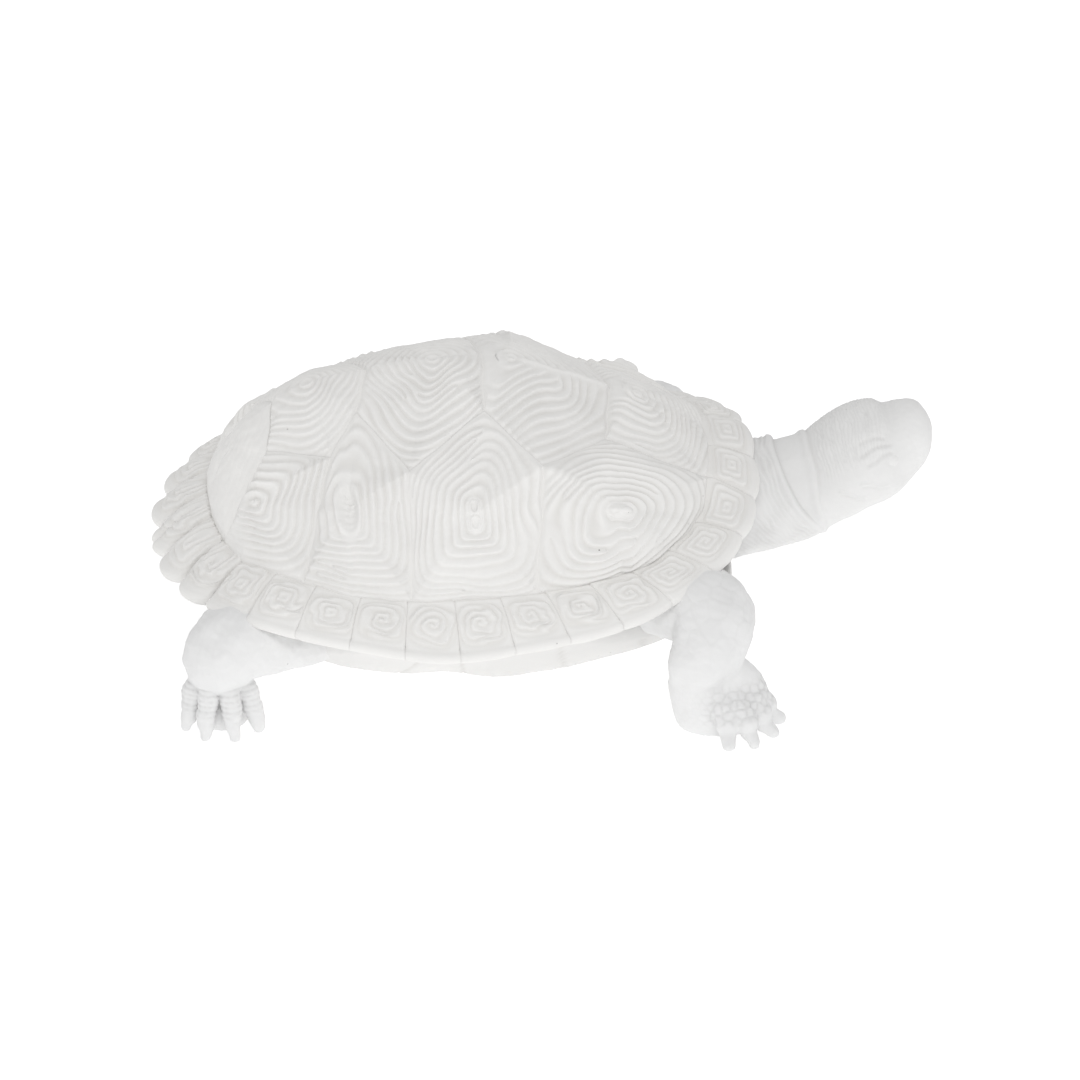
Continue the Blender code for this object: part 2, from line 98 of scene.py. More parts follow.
aim(camera, AIM, AZIMUTH, ELEVATION, CAMERA_DISTANCE)
soft_lamp("lamp_front", -4, 52, 1.6, 0.5, 5.8)
soft_lamp("lamp_side", 40, 14, 1.8, 0.8, 0.15)
world = bpy.data.worlds.new("studio")
world.use_nodes = True
world.node_tree.nodes["Background"].inputs["Color"].default_value = (1, 1, 1, 1)
world.node_tree.nodes["Background"].inputs["Strength"].default_value = WORLD_LIGHT
bpy.context.scene.world = world
bpy.context.scene.view_settings.view_transform = "Standard"

# ------------------------------------------------------------------ dome of the shell
# Thirteen large plates (scutes) cover the dome: five along the back and four down each side.
# Each was carved as a low pyramid with growth rings stepping down from its boss to a narrow
# groove, then cast in one with the rest in a matt white, chalky material.
CROWN_X = -0.0463                # the shell's outlines and angles turn about this x
SEAM_PLAN = (0.1100, 0.0833, 0.0750, 2.7, 2.3)
SEAM_HEIGHTS = ((0, 0.0815), (14, 0.0780), (21, 0.0690), (30, 0.0648), (38, 0.0608), (50, 0.0598),
                (88, 0.0600), (112, 0.0620), (132, 0.0650), (155, 0.0640), (180, 0.0650))
CORNERS = {
    "keel_12": (0.0257, 0, 0.1040), "keel_23": (-0.0233, 0, 0.1215),
    "keel_34": (-0.0673, 0, 0.1190), "keel_45": (-0.1043, 0, 0.1068),
    "v12": (0.0205, 0.0296, 0.0983), "v2": (-0.0063, 0.0510, 0.1020),
    "v23": (-0.0261, 0.0280, 0.1123), "v3": (-0.0567, 0.0461, 0.1002),
    "v34": (-0.0730, 0.0183, 0.1091), "v4": (-0.0849, 0.0315, 0.0993),
    "v45": (-0.1083, 0.0180, 0.0945),
}
# For each plate, three lines. First its boss, and its border from front to rear (a number is an angle
# on the seam). Then for each side of the border the pitch in metres of the rings along it (over
# FAINT_PITCH they are faint and mostly run out across it), and how sharp their corners are. Then how
# far out the plate is rounded, how sharp its creases are, its crown in metres, the half length and
# half height of the slot that its boss fills, how strong the rings are, how deep its border is in
# metres, and what its boss looks like.
BACK_PLATES = (
    ((0.0367, 0, 0.1005), (0, 15, "v12", "keel_12"),
     (0.0034, 0.0034, 0.0075), 3,
     0.35, 0.8, 0.0016, (0, 0), 0.95, 0.0010, "plain"),
    ((-0.0123, 0, 0.1200), ("keel_12", "v12", "v2", "v23", "keel_23"),
     (0.0034, 0.0034, 0.0058, 0.0080), 12,
     0.20, 0.9, 0.0006, (0, 0), 1.05, 0.0010, "keel"),
    ((-0.0423, 0, 0.1212), ("keel_23", "v23", "v3", "v34", "keel_34"),
     (0.0034, 0.0029, 0.0029, 0.0046), 5,
     0.62, 0.6, 0.0014, (0, 0), 1.1, 0.0011, "plain"),
    ((-0.0903, 0, 0.1150), ("keel_34", "v34", "v4", "v45", "keel_45"),
     (0.0032, 0.0027, 0.0027, 0.0046), 4,
     0.55, 0.6, 0.0012, (0, 0), 0.85, 0.0010, "plain"),
    ((-0.1203, 0, 0.0890), ("keel_45", "v45", 160, 180),
     (0.0036, 0.0036, 0.0036), 4,
     0.50, 0.8, 0.0012, (0, 0), 0.14, 0.0005, "plain"),
)
SIDE_PLATES = (
    ((0.0221, 0.0575, 0.0840), (15, 65, "v2", "v12"),
     ((0.0026, 0.0042), 0.0042, 0.0031, 0.0026), 2.8,
     0.75, 0.15, 0.0038, (0.0022, 0), 1.0, 0.0007, "beads"),
    ((-0.0336, 0.0600, 0.0880), ("v2", 65, 100, "v3", "v23"),
     (0.0030, 0.0034, 0.0030, 0.0033, 0.0046), 6,
     0.70, 0.5, 0.0016, (0, 0.0034), 0.8, 0.0006, "curl"),
    ((-0.0798, 0.0505, 0.0885), ("v3", 100, 130, "v4", "v34"),
     (0.0031, 0.0034, 0.0033, 0.0033, 0.0046), 5,
     0.70, 0.5, 0.0014, (0.0012, 0.0065), 0.9, 0.0006, "sunk"),
    ((-0.1138, 0.0330, 0.0835), ("v4", 130, 160, "v45"),
     (0.0032, 0.0034, 0.0090, 0.0034), 9,
     0.65, 0.4, 0.0014, (0, 0), 0.95, 0.0007, "square"),
)
# The left front side plate was carved further forward, and is hollow behind its boss.
LEFT_SHOULDER_BOSS, LEFT_SHOULDER_CROWN = (0.0397, 0.0480, 0.0863), -0.0040
PLATE_THICKNESS = 0.0036
RING_HEIGHT = 0.00096
FAINT_PITCH = 0.005
SEAM_ROUNDING = 0.0009
BEVEL_WIDTH = 0.0026
PLATE_COLUMNS = 320              # points round a plate
PLATE_ROW_PITCH = 0.00038        # and metres between rows of them, outwards from the boss


def height_at(keys, degrees):
    """Smooth height through (angle, height) keys, the same on both sides, for an array of angles."""
    spots, heights = np.array(keys).T
    slopes = np.zeros(len(keys))
    slopes[1:-1] = (heights[2:] - heights[:-2]) / (spots[2:] - spots[:-2])
    angle = np.abs((np.asarray(degrees, float) + 180) % 360 - 180)
    index = np.clip(np.searchsorted(spots, angle, side="right") - 1, 0, len(keys) - 2)
    width = spots[index + 1] - spots[index]
    t = (angle - spots[index]) / width
    return (heights[index] * (1 + 2 * t) * (1 - t) ** 2 + slopes[index] * width * t * (1 - t) ** 2
            + heights[index + 1] * t * t * (3 - 2 * t) + slopes[index + 1] * width * t * t * (t - 1))


def plan_radius(plan, degrees):
    """Radius of an outline at an angle. plan: front, rear and side reach, then how square each end is."""
    front, rear, side, front_power, rear_power = plan
    turn = np.radians(degrees)
    across, along = np.abs(np.sin(turn)), np.cos(turn)
    reach = np.where(along >= 0, front, rear)
    power = np.where(along >= 0, front_power, rear_power)
    return ((np.abs(along) / reach) ** power + (across / side) ** power) ** (-1 / power)


def around_crown(radius, degrees, height):
    """Points at a radius and angle about the shell's centre line, as an array of x, y, z."""
    turn = np.radians(degrees)
    radius, turn, height = np.broadcast_arrays(radius, turn, height)
    return np.stack((CROWN_X + radius * np.cos(turn), radius * np.sin(turn), height), axis=-1)


def seam_points(degrees):
    """Points on the seam where the dome meets the rim."""
    return around_crown(plan_radius(SEAM_PLAN, degrees), degrees, height_at(SEAM_HEIGHTS, degrees))


def smooth_step(low, high, value):
    """Eases from 0 at low to 1 at high; low may be the greater of the two."""
    t = np.clip((value - low) / (high - low), 0, 1)
    return t * t * (3 - 2 * t)


def lumps(points, wavelength, seed, terms=9):
    """Smooth, irregular swell from about -1 to 1 over points in space: hand work is never flat."""
    rng = np.random.default_rng(seed)
    total = np.zeros(points.shape[:-1])
    for _ in range(terms):
        way = rng.normal(size=3)
        way *= 2 * math.pi / (wavelength * rng.uniform(0.75, 1.5) * np.linalg.norm(way))
        total += np.sin(points @ way + rng.uniform(0, 2 * math.pi))
    return total / math.sqrt(terms)


def plate_corner(spec, side):
    """A corner of a plate: a named one, or a place on the seam given by its angle."""
    if isinstance(spec, str):
        return np.array(CORNERS[spec]) * (1, side, 1)
    return seam_points(spec * side)


def border_chain(specs, side, closed):
    """Fine points along a plate's border, straight between corners or along the seam."""
    ring = specs + specs[:1] if closed else specs
    points = []
    for start, end in zip(ring, ring[1:]):
        if isinstance(start, str) or isinstance(end, str):
            share = np.linspace(0, 1, 60, endpoint=False)[:, None]
            points.append(plate_corner(start, side) * (1 - share) + plate_corner(end, side) * share)
        else:
            points.append(seam_points(np.linspace(start, end, 120, endpoint=False) * side))
    if not closed:
        points.append(plate_corner(specs[-1], side)[None])
    return np.concatenate(points)


def plate_border(specs, middle, side, count):
    """The whole border of a plate at even steps, with the slight waver of a line cut by hand."""
    if middle:
        chain = np.concatenate((border_chain(specs, 1, False), border_chain(specs, -1, False)[-2:0:-1]))
        chain = np.concatenate((chain, border_chain(specs, -1, False)[:1]))
    else:
        chain = border_chain(specs, side, True)
    chain = np.concatenate((chain, chain[:1]))
    steps = np.linalg.norm(np.diff(chain, axis=0), axis=1)
    chain = chain[np.concatenate(([True], steps > 1e-7))]
    reach = np.concatenate(([0], np.cumsum(np.linalg.norm(np.diff(chain, axis=0), axis=1))))
    spots = np.linspace(0, reach[-1], count, endpoint=False)
    even = np.stack([np.interp(spots, reach, chain[:, axis]) for axis in range(3)], axis=1)
    waver = np.stack([lumps(even, 0.016, 40 + axis) for axis in range(3)], axis=1)
    return even + waver * (0.00035, 0.00035, 0.00010)


def around_mean(values, spread):
    """Average of a closed row of values over neighbours, with a spread in steps."""
    reach = int(3 * spread)
    weights = np.exp(-0.5 * (np.arange(-reach, reach + 1) / spread) ** 2)
    weights /= weights.sum()
    return sum(weight * np.roll(values, shift, axis=0)
               for weight, shift in zip(weights, range(-reach, reach + 1)))


def out_from_rows(rows, seen=slice(None)):
    """Unit normals of a skin over closed rows of points, turned to point up where it is seen."""
    along = np.gradient(rows, axis=0)
    around = np.roll(rows, -1, axis=1) - np.roll(rows, 1, axis=1)
    normal = np.cross(around, along)
    normal /= np.maximum(np.linalg.norm(normal, axis=-1, keepdims=True), 1e-12)
    return normal if normal[seen][..., 2].mean() > 0 else -normal


def smooth_object(name, points, faces, painted_shade):
    """A smooth object from points and faces. The painted shade mark says, from 0 to 1, how far down
    in a groove each point lies; the finish reads it to paint shade into the grooves."""
    mesh = bpy.data.meshes.new(name)
    mesh.from_pydata(points.tolist(), [], faces)
    mesh.attributes.new("painted_shade", "FLOAT", "POINT").data.foreach_set("value", painted_shade)
    mesh.shade_smooth()
    made = bpy.data.objects.new(name, mesh)
    bpy.context.scene.collection.objects.link(made)
    return made


def closed_skin(name, rows, painted_shade, start=None, finish=None):
    """A closed mesh over closed rows of points, ended by a point in the middle of each end row.
    The bake map runs round the rows and along them, with the ends beside it."""
    count, size = rows.shape[:2]
    start = rows[0].mean(axis=0) if start is None else start
    finish = rows[-1].mean(axis=0) if finish is None else finish
    points = np.concatenate((rows.reshape(-1, 3), [start], [finish]))
    number = np.arange(count * size).reshape(count, size)
    following = np.roll(number, -1, axis=1)
    quads = np.stack((number[:-1], following[:-1], following[1:], number[1:]), axis=-1)
    quads = quads.reshape(-1, 4)
    ends = [np.stack((np.full(size, count * size), following[0], number[0]), axis=-1),
            np.stack((np.full(size, count * size + 1), number[-1], following[-1]), axis=-1)]
    corner = points[quads[:, 0]]
    volume = np.einsum("ij,ij->i", corner, np.cross(points[quads[:, 1]], points[quads[:, 2]])).sum()
    volume += np.einsum("ij,ij->i", corner, np.cross(points[quads[:, 2]], points[quads[:, 3]])).sum()
    across, down = np.meshgrid(np.arange(size + 1) / size, np.arange(count) / (count - 1))
    spread = np.stack((0.10 + 0.89 * down, 0.01 + 0.98 * across), axis=-1)
    quad_map = np.stack((spread[:-1, :-1], spread[:-1, 1:], spread[1:, 1:], spread[1:, :-1]), axis=2)
    turn = 2 * math.pi * np.arange(size) / size
    edge = np.stack((0.045 + 0.035 * np.cos(turn), 0.05 + 0.035 * np.sin(turn)), axis=-1)
    end_maps = []
    for lift, flip in ((0.0, 1), (0.10, 0)):
        pair = (np.roll(edge, -1, axis=0), edge) if flip else (edge, np.roll(edge, -1, axis=0))
        middle = np.full((size, 2), (0.045, 0.05))
        end_maps.append(np.stack((middle, *pair), axis=1) + (0, lift))
    if volume < 0:
        quads = quads[:, ::-1]
        quad_map = quad_map[:, :, ::-1]
        ends = [end[:, ::-1] for end in ends]
        end_maps = [end[:, ::-1] for end in end_maps]
    made = smooth_object(name, points, quads.tolist() + ends[0].tolist() + ends[1].tolist(),
                         np.concatenate((painted_shade.ravel(), [0, 0])))
    laid = np.concatenate([part.reshape(-1, 2) for part in (quad_map, *end_maps)])
    made.data.uv_layers.new(name="OFBake").data.foreach_set("uv", laid.ravel())
    return made


def ring_sides(specs, pitches, middle, side, flat):
    """The straight sides that a plate's rings follow: the unit normal and ring pitch of each."""
    ring, sides = specs if middle else specs + specs[:1], []
    for start, end, pitch in zip(ring, ring[1:], pitches):
        if isinstance(start, str) or isinstance(end, str):
            corners = flat(np.array((plate_corner(start, side), plate_corner(end, side))))
        else:
            corners = flat(seam_points(np.linspace(start, end, 4) * side))
        spacings = np.linspace(*np.broadcast_to(pitch, 2), 3)
        for first, second, spacing in zip(corners, corners[1:], spacings):
            normal = np.array((second[1] - first[1], first[0] - second[0]))
            sides.append((normal / np.linalg.norm(normal) * np.sign(normal @ first), spacing))
    return sides


def ring_field(plane, sides, power):
    """How many rings out each point lies, and how much a side of faint rings has to do with it."""
    terms = [(np.maximum(plane @ normal, 0) / pitch) ** power for normal, pitch in sides]
    total = np.maximum(sum(terms), 1e-12)
    faint = sum(term for term, (_, pitch) in zip(terms, sides) if pitch > FAINT_PITCH) / total
    return total ** (1 / power), faint


def carved_rings(plane, out, count, seed, forks, spin=0, waver=0.42):
    """Height from 0 to 1 of hand-cut rings, which fall off steeply on their outer side.

    plane holds each point's place on a disc of radius 1, and out how far out its ring is. Each of
    forks is a spot where a ring splits (1) or ends (-1)."""
    rng = np.random.default_rng(seed)
    turn = np.arctan2(plane[..., 1], plane[..., 0])
    phase = count * out + spin * turn / (2 * math.pi)
    for _ in range(7):
        lobes, depth = rng.integers(1, 8), rng.uniform(0.3, 1.6)
        phase += waver / lobes ** 0.7 * out * np.sin(lobes * turn + depth * 2 * math.pi * out
                                                     + rng.uniform(0, 6.28))
    for sign in forks:
        spot_turn, spot_out = rng.uniform(0, 2 * math.pi), rng.uniform(0.35, 0.85)
        spot = spot_out * np.array((math.cos(spot_turn), math.sin(spot_turn)))
        phase += sign * np.arctan2(plane[..., 1] - spot[1], plane[..., 0] - spot[0]) / (2 * math.pi)
    phase = 2 * math.pi * (phase - 0.25)
    return 0.5 + 0.5 * np.sin(phase - 0.45 * np.sin(phase))


def boss_detail(look, plane):
    """Relief in metres that a plate's boss adds, and how far it wipes the rings out there."""
    u, v = plane[..., 0], plane[..., 1]
    if look == "beads":
        beads = sum(np.exp(-(((u - spot) / 0.0021) ** 2 + (v / 0.0012) ** 2) ** 2)
                    for spot in (-0.0029, 0.0024))
        oval = np.sqrt((u / 0.0064) ** 2 + (v / 0.0036) ** 2)
        moat = np.exp(-((oval - 0.80) / 0.20) ** 2)
        return 0.0010 * beads - 0.0006 * moat, smooth_step(1.2, 0.8, oval)
    if look == "curl":
        loops = [np.hypot(u / 0.0020, (v - spot) / 0.0029) for spot in (-0.0029, 0.0029)]
        ridge = np.maximum(*(np.exp(-((loop - 0.8) / 0.28) ** 2) for loop in loops))
        area = smooth_step(1.30, 0.95, np.hypot(u / 0.0027, v / 0.0064))
        return (0.0008 * ridge - 0.0004) * area, area
    if look == "sunk":
        reach = np.hypot(u / 0.0034, v / 0.0100)
        pit = smooth_step(1.05, 0.35, reach)
        walls = np.exp(-((reach - 1.15) / 0.28) ** 2) * smooth_step(0.0105, 0.0060, np.abs(v))
        ribs = 0.5 - 0.5 * np.cos(2 * math.pi * (v + 0.4 * np.abs(u)) / 0.0026)
        return pit * (0.0005 * ribs - 0.0019) + 0.0011 * walls, smooth_step(1.5, 1.1, reach)
    if look == "keel":
        along = smooth_step(0.0, 0.006, u)
        return 0.0006 * np.exp(-(v / 0.0013) ** 2) * along, 0.9 * np.exp(-(v / 0.0022) ** 2) * along
    return 0.0 * u, 0.0 * u


def round_back(points):
    """Height added beside the midline so that the back is round there, but keeled in front."""
    side = np.abs(points[..., 1])
    return (0.0024 - 0.0018 * smooth_step(-0.020, 0.012, points[..., 0])) * (
        1 - np.exp(-side / 0.0055)) * smooth_step(0.046, 0.012, side)


def shell_plate(name, plate, middle, side, seed):
    """One large plate with its rings, boss and rounded border, closed behind."""
    (boss, specs, pitches, corner, rounded, crease, crown, slot, strength, groove, look) = plate
    boss = np.array(boss) * (1, side, 1)
    if name == "side_plate_left_1":
        boss, crown = np.array(LEFT_SHOULDER_BOSS), LEFT_SHOULDER_CROWN
    border = plate_border(specs, middle, side, PLATE_COLUMNS)
    reach = np.linalg.norm(border - boss, axis=1)
    soft = boss + around_mean(border - boss, PLATE_COLUMNS * 0.035)
    along = np.roll(border, -1, axis=0) - np.roll(border, 1, axis=0)
    along /= np.linalg.norm(along, axis=1, keepdims=True)
    nearest = around_mean(np.linalg.norm(np.cross(border - boss, along), axis=1), 4)
    on_seam = np.linalg.norm(border[:, :2] - (CROWN_X, 0), axis=1) - plan_radius(
        SEAM_PLAN, np.degrees(np.arctan2(border[:, 1], border[:, 0] - CROWN_X)))
    on_seam = around_mean(smooth_step(0.0016, 0.0006, np.abs(on_seam)), 2)

    def flat(points):
        """Places in the plate's own slope: forward of the boss, and out or down from it."""
        outward = np.abs(points[..., 1]) - abs(boss[1])
        return np.stack((points[..., 0] - boss[0],
                         outward if middle else 0.7 * (outward - points[..., 2] + boss[2])), axis=-1)

    rows = int(reach.max() / PLATE_ROW_PITCH)
    out = ((np.arange(rows) + 1) / rows)[:, None]
    shape = smooth_step(0.0, rounded + 0.25, out)
    travel = out * ((1 - shape) * np.median(nearest) / reach + shape)
    corners = smooth_step(0.0, 0.9, travel) * (1 - crease) + crease
    target = soft + (border - soft) * corners[..., None]
    skin = boss + (target - boss) * (travel * (1 + 0.0003 / reach))[..., None]
    skin[..., 2] += round_back(skin)
    normal = out_from_rows(skin)
    from_border = (1 - travel) * nearest

    # The rings are round near the boss's slot and follow the sides of the border further out.
    plane = flat(skin)
    clear = np.sign(plane) * np.maximum(np.abs(plane) - slot, 0)
    if look == "square":
        corner = 3 + (corner - 3) * smooth_step(0.002, -0.004, plane[..., 1])
    straight, faint = ring_field(clear, ring_sides(specs, pitches, middle, side, flat), corner)
    bowed = np.linalg.norm(clear, axis=-1) / pitches[-1 if look in ("beads", "curl") else 1]
    rings_out = bowed + (straight - bowed) * smooth_step(0.4, 2.6, straight)
    turn = np.arctan2(skin[..., 1] if middle else plane[..., 1], plane[..., 0])
    disc = 0.1 * rings_out[..., None] * np.stack((np.cos(turn), np.sin(turn)), axis=-1)
    rings = carved_rings(disc, 0.1 * rings_out, 10, seed, (1, -1, 1, -1, 1, -1))
    extra, wiped = boss_detail(look, plane)
    patchy = np.clip(0.88 + 0.20 * lumps(skin, 0.022, seed + 1), 0.45, 1.2)
    patchy *= (1 - 0.65 * faint) * (1 - wiped)
    if middle:
        patchy *= 1 - 0.45 * np.exp(-(skin[..., 1] / 0.0022) ** 2)
    worn = smooth_step(0.0005, -0.0075, plane[..., 0]) if look == "square" else 0.0 * plane[..., 0]
    patchy *= 1 - 0.85 * worn
    band = smooth_step(0.0, 0.0022, from_border)
    relief = strength * RING_HEIGHT * (rings - 0.5) * patchy * band + extra
    depth = (groove + (SEAM_ROUNDING - groove) * on_seam) * (1 - 0.8 * worn)
    bevel = depth * (1 - smooth_step(0, 1, from_border / BEVEL_WIDTH)) ** 1.4
    bulge = np.clip(travel, 0, 1) ** (1.6 if crown > 0.002 else 1.0)
    dome = crown * np.sin(math.pi * bulge) ** 1.3
    if crown < 0:
        dome *= smooth_step(0.004, -0.014, plane[..., 0])
    hand = 0.00020 * lumps(skin, 0.012, seed + 2) + 0.00008 * lumps(skin, 0.0035, seed + 3, 14)
    surface = skin + normal * (relief - bevel + dome + hand * band)[..., None]
    # Painted shade: the ring grooves and the border groove are darkened in colour by this mark.
    painted_shade = np.clip((1 - rings) ** 2 * band * patchy * min(strength, 1)
                     + 0.25 * (1 - smooth_step(0, 1, from_border / 0.0016)) * (1 - worn), 0, 1)

    # Behind, the border goes straight down and closes on a point inside the shell.
    surface = np.concatenate((surface, surface[-1:] - (0, 0, PLATE_THICKNESS)))
    painted_shade = np.concatenate((painted_shade, np.ones((1, PLATE_COLUMNS))))
    start = boss + normal[0].mean(axis=0) * (relief + dome + hand)[0].mean()
    inward = np.array((CROWN_X, 0, 0.045)) - boss
    finish = boss + inward / np.linalg.norm(inward) * (PLATE_THICKNESS + 0.002 + 4 * max(-crown, 0))
    return closed_skin(name, surface, painted_shade, start, finish)


def add_node(nodes, kind, **values):
    """A new node, with plain values set on its named inputs (an underscore stands for a space)."""
    node = nodes.new(kind)
    for label, value in values.items():
        node.inputs[label.replace("_", " ")].default_value = value
    return node


def casting_marks():
    """Marks that the whole casting shares: faint mottling, fine grain, and rare pinholes."""
    group = bpy.data.node_groups.new("casting_marks", "ShaderNodeTree")
    for label, scale in (("Mottle Scale", 30.0), ("Grain Scale", 1500.0), ("Pinhole Scale", 130.0)):
        socket = group.interface.new_socket(label, in_out="INPUT", socket_type="NodeSocketFloat")
        socket.default_value = scale
    for label in ("Mottle", "Grain", "Pinholes"):
        group.interface.new_socket(label, in_out="OUTPUT", socket_type="NodeSocketFloat")
    nodes, links = group.nodes, group.links
    entry, leave = nodes.new("NodeGroupInput"), nodes.new("NodeGroupOutput")
    place = nodes.new("ShaderNodeTexCoord")
    mottle = add_node(nodes, "ShaderNodeTexNoise", Detail=4)
    grain = add_node(nodes, "ShaderNodeTexNoise", Detail=3, Roughness=0.65)
    spots = nodes.new("ShaderNodeTexVoronoi")
    rare = add_node(nodes, "ShaderNodeTexNoise", Scale=45, Detail=2)
    for texture in (mottle, grain, spots, rare):
        links.new(place.outputs["Object"], texture.inputs["Vector"])
    near = add_node(nodes, "ShaderNodeMapRange", From_Min=0.055, From_Max=0.030)
    chosen = add_node(nodes, "ShaderNodeMapRange", From_Min=0.56, From_Max=0.62)
    both = nodes.new("ShaderNodeMath")
    both.operation = "MULTIPLY"
    for source, target in (
            (entry.outputs["Mottle Scale"], mottle.inputs["Scale"]),
            (entry.outputs["Grain Scale"], grain.inputs["Scale"]),
            (entry.outputs["Pinhole Scale"], spots.inputs["Scale"]),
            (spots.outputs["Distance"], near.inputs["Value"]),
            (rare.outputs["Fac"], chosen.inputs["Value"]),
            (near.outputs["Result"], both.inputs[0]),
            (chosen.outputs["Result"], both.inputs[1]),
            (mottle.outputs["Fac"], leave.inputs["Mottle"]),
            (grain.outputs["Fac"], leave.inputs["Grain"]),
            (both.outputs["Value"], leave.inputs["Pinholes"])):
        links.new(source, target)
    return group


CASTING_MARKS = casting_marks()
PINHOLE_COLOUR = (0.22, 0.215, 0.21, 1)


def cast_white(name, light, shade_colour, grain=0.00010, pinholes=1.0, rough=0.82):
    """Matt white casting of colour light, with painted shade of a darker colour in the grooves; grain in
    metres.
    """
    material = bpy.data.materials.new(name)
    material.use_nodes = True
    nodes, links = material.node_tree.nodes, material.node_tree.links
    shader = nodes["Principled BSDF"]
    shader.inputs["Specular IOR Level"].default_value = 0.25
    marks = nodes.new("ShaderNodeGroup")
    marks.node_tree = CASTING_MARKS
    # The groove mark mixes in the darker colour: painted shade in the grooves, creases and steps.
    groove = nodes.new("ShaderNodeAttribute")
    groove.attribute_name = "painted_shade"
    speckle, tone, sunk = (nodes.new("ShaderNodeMix") for _ in range(3))
    for mix in (speckle, tone, sunk):
        mix.data_type = "RGBA"
    speckle.inputs["A"].default_value = (*[0.965 * part for part in light], 1)
    speckle.inputs["B"].default_value = (*light, 1)
    tone.inputs["B"].default_value = (*shade_colour, 1)
    sunk.inputs["B"].default_value = PINHOLE_COLOUR
    patch = add_node(nodes, "ShaderNodeMapRange", From_Min=0.30, From_Max=0.70)
    dots = nodes.new("ShaderNodeMath")
    dots.operation = "MULTIPLY"
    dots.inputs[1].default_value = pinholes
    gloss = add_node(nodes, "ShaderNodeMapRange", To_Min=rough - 0.05, To_Max=rough + 0.08)
    bump = add_node(nodes, "ShaderNodeBump", Distance=grain, Strength=0.6)
    for source, target in (
            (marks.outputs["Mottle"], patch.inputs["Value"]),
            (patch.outputs["Result"], speckle.inputs["Factor"]),
            (groove.outputs["Fac"], tone.inputs["Factor"]),
            (speckle.outputs["Result"], tone.inputs["A"]),
            (marks.outputs["Pinholes"], dots.inputs[0]),
            (dots.outputs["Value"], sunk.inputs["Factor"]),
            (tone.outputs["Result"], sunk.inputs["A"]),
            (sunk.outputs["Result"], shader.inputs["Base Color"]),
            (marks.outputs["Mottle"], gloss.inputs["Value"]),
            (gloss.outputs["Result"], shader.inputs["Roughness"]),
            (marks.outputs["Grain"], bump.inputs["Height"]),
            (bump.outputs["Normal"], shader.inputs["Normal"])):
        links.new(source, target)
    return material


# Each finish's second colour is painted shade, laid into the grooves by the painted shade mark.
dome_white = cast_white("dome_white", (0.860, 0.853, 0.839), (0.765, 0.754, 0.733))
dome_plates = [(f"back_plate_{number}", plate, True, 1, 100 + 7 * number)
               for number, plate in enumerate(BACK_PLATES, 1)]
for number, plate in enumerate(SIDE_PLATES, 1):
    dome_plates.append((f"side_plate_left_{number}", plate, False, 1, 300 + 7 * number))
    dome_plates.append((f"side_plate_right_{number}", plate, False, -1, 200 + 7 * number))
for name, plate, middle, side, seed in dome_plates:
    piece = shell_plate(name, plate, middle, side, seed)
    piece.data.materials.append(dome_white)
    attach(piece, "root")
    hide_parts("carapace")

# ------------------------------------------------------------------ rim of the shell
# Thirty-two edge plates (marginals) run round the dome. Each has a squarish scroll cut into its
# top and a smooth rolled lip; at the tail they spread into thick, rounded tongues.
RIM_PLAN = (0.1278, 0.1046, 0.0897, 2.8, 2.2)
RIM_HEIGHTS = ((0, 0.0795), (18, 0.0700), (33, 0.0615), (50, 0.0520), (68, 0.0483), (90, 0.0458),
               (112, 0.0515), (135, 0.0548), (160, 0.0520), (180, 0.0505))
MARGINALS = 32
LIP_THICKNESS = 0.0045
INNER_THICKNESS = 0.0090
SCROLL_HEIGHT = 0.00080
TUCK = 0.0036                    # how far the rim reaches in under the dome
NOTCH, TONGUE_NOTCH, NOSE_NOTCH = 0.0003, 0.0057, 0.0012
RIGHT_SHIFT = 22                 # the right side's notches start this many degrees further back


def marginal_borders():
    """Angles of the borders between edge plates, near even along the rim; the nose plate is wide."""
    fine = np.arange(0, 360.01, 0.25)
    middle = (seam_points(fine) + around_crown(plan_radius(RIM_PLAN, fine), fine, 0.0))[:, :2] / 2
    reach = np.concatenate(([0], np.cumsum(np.linalg.norm(np.diff(middle, axis=0), axis=1))))
    spots = np.arange(MARGINALS) + 0.5
    spots += 0.17 * (np.exp(-spots / 4) - np.exp(-(MARGINALS - spots) / 4))
    return np.interp(reach[-1] * spots / MARGINALS, reach, fine)


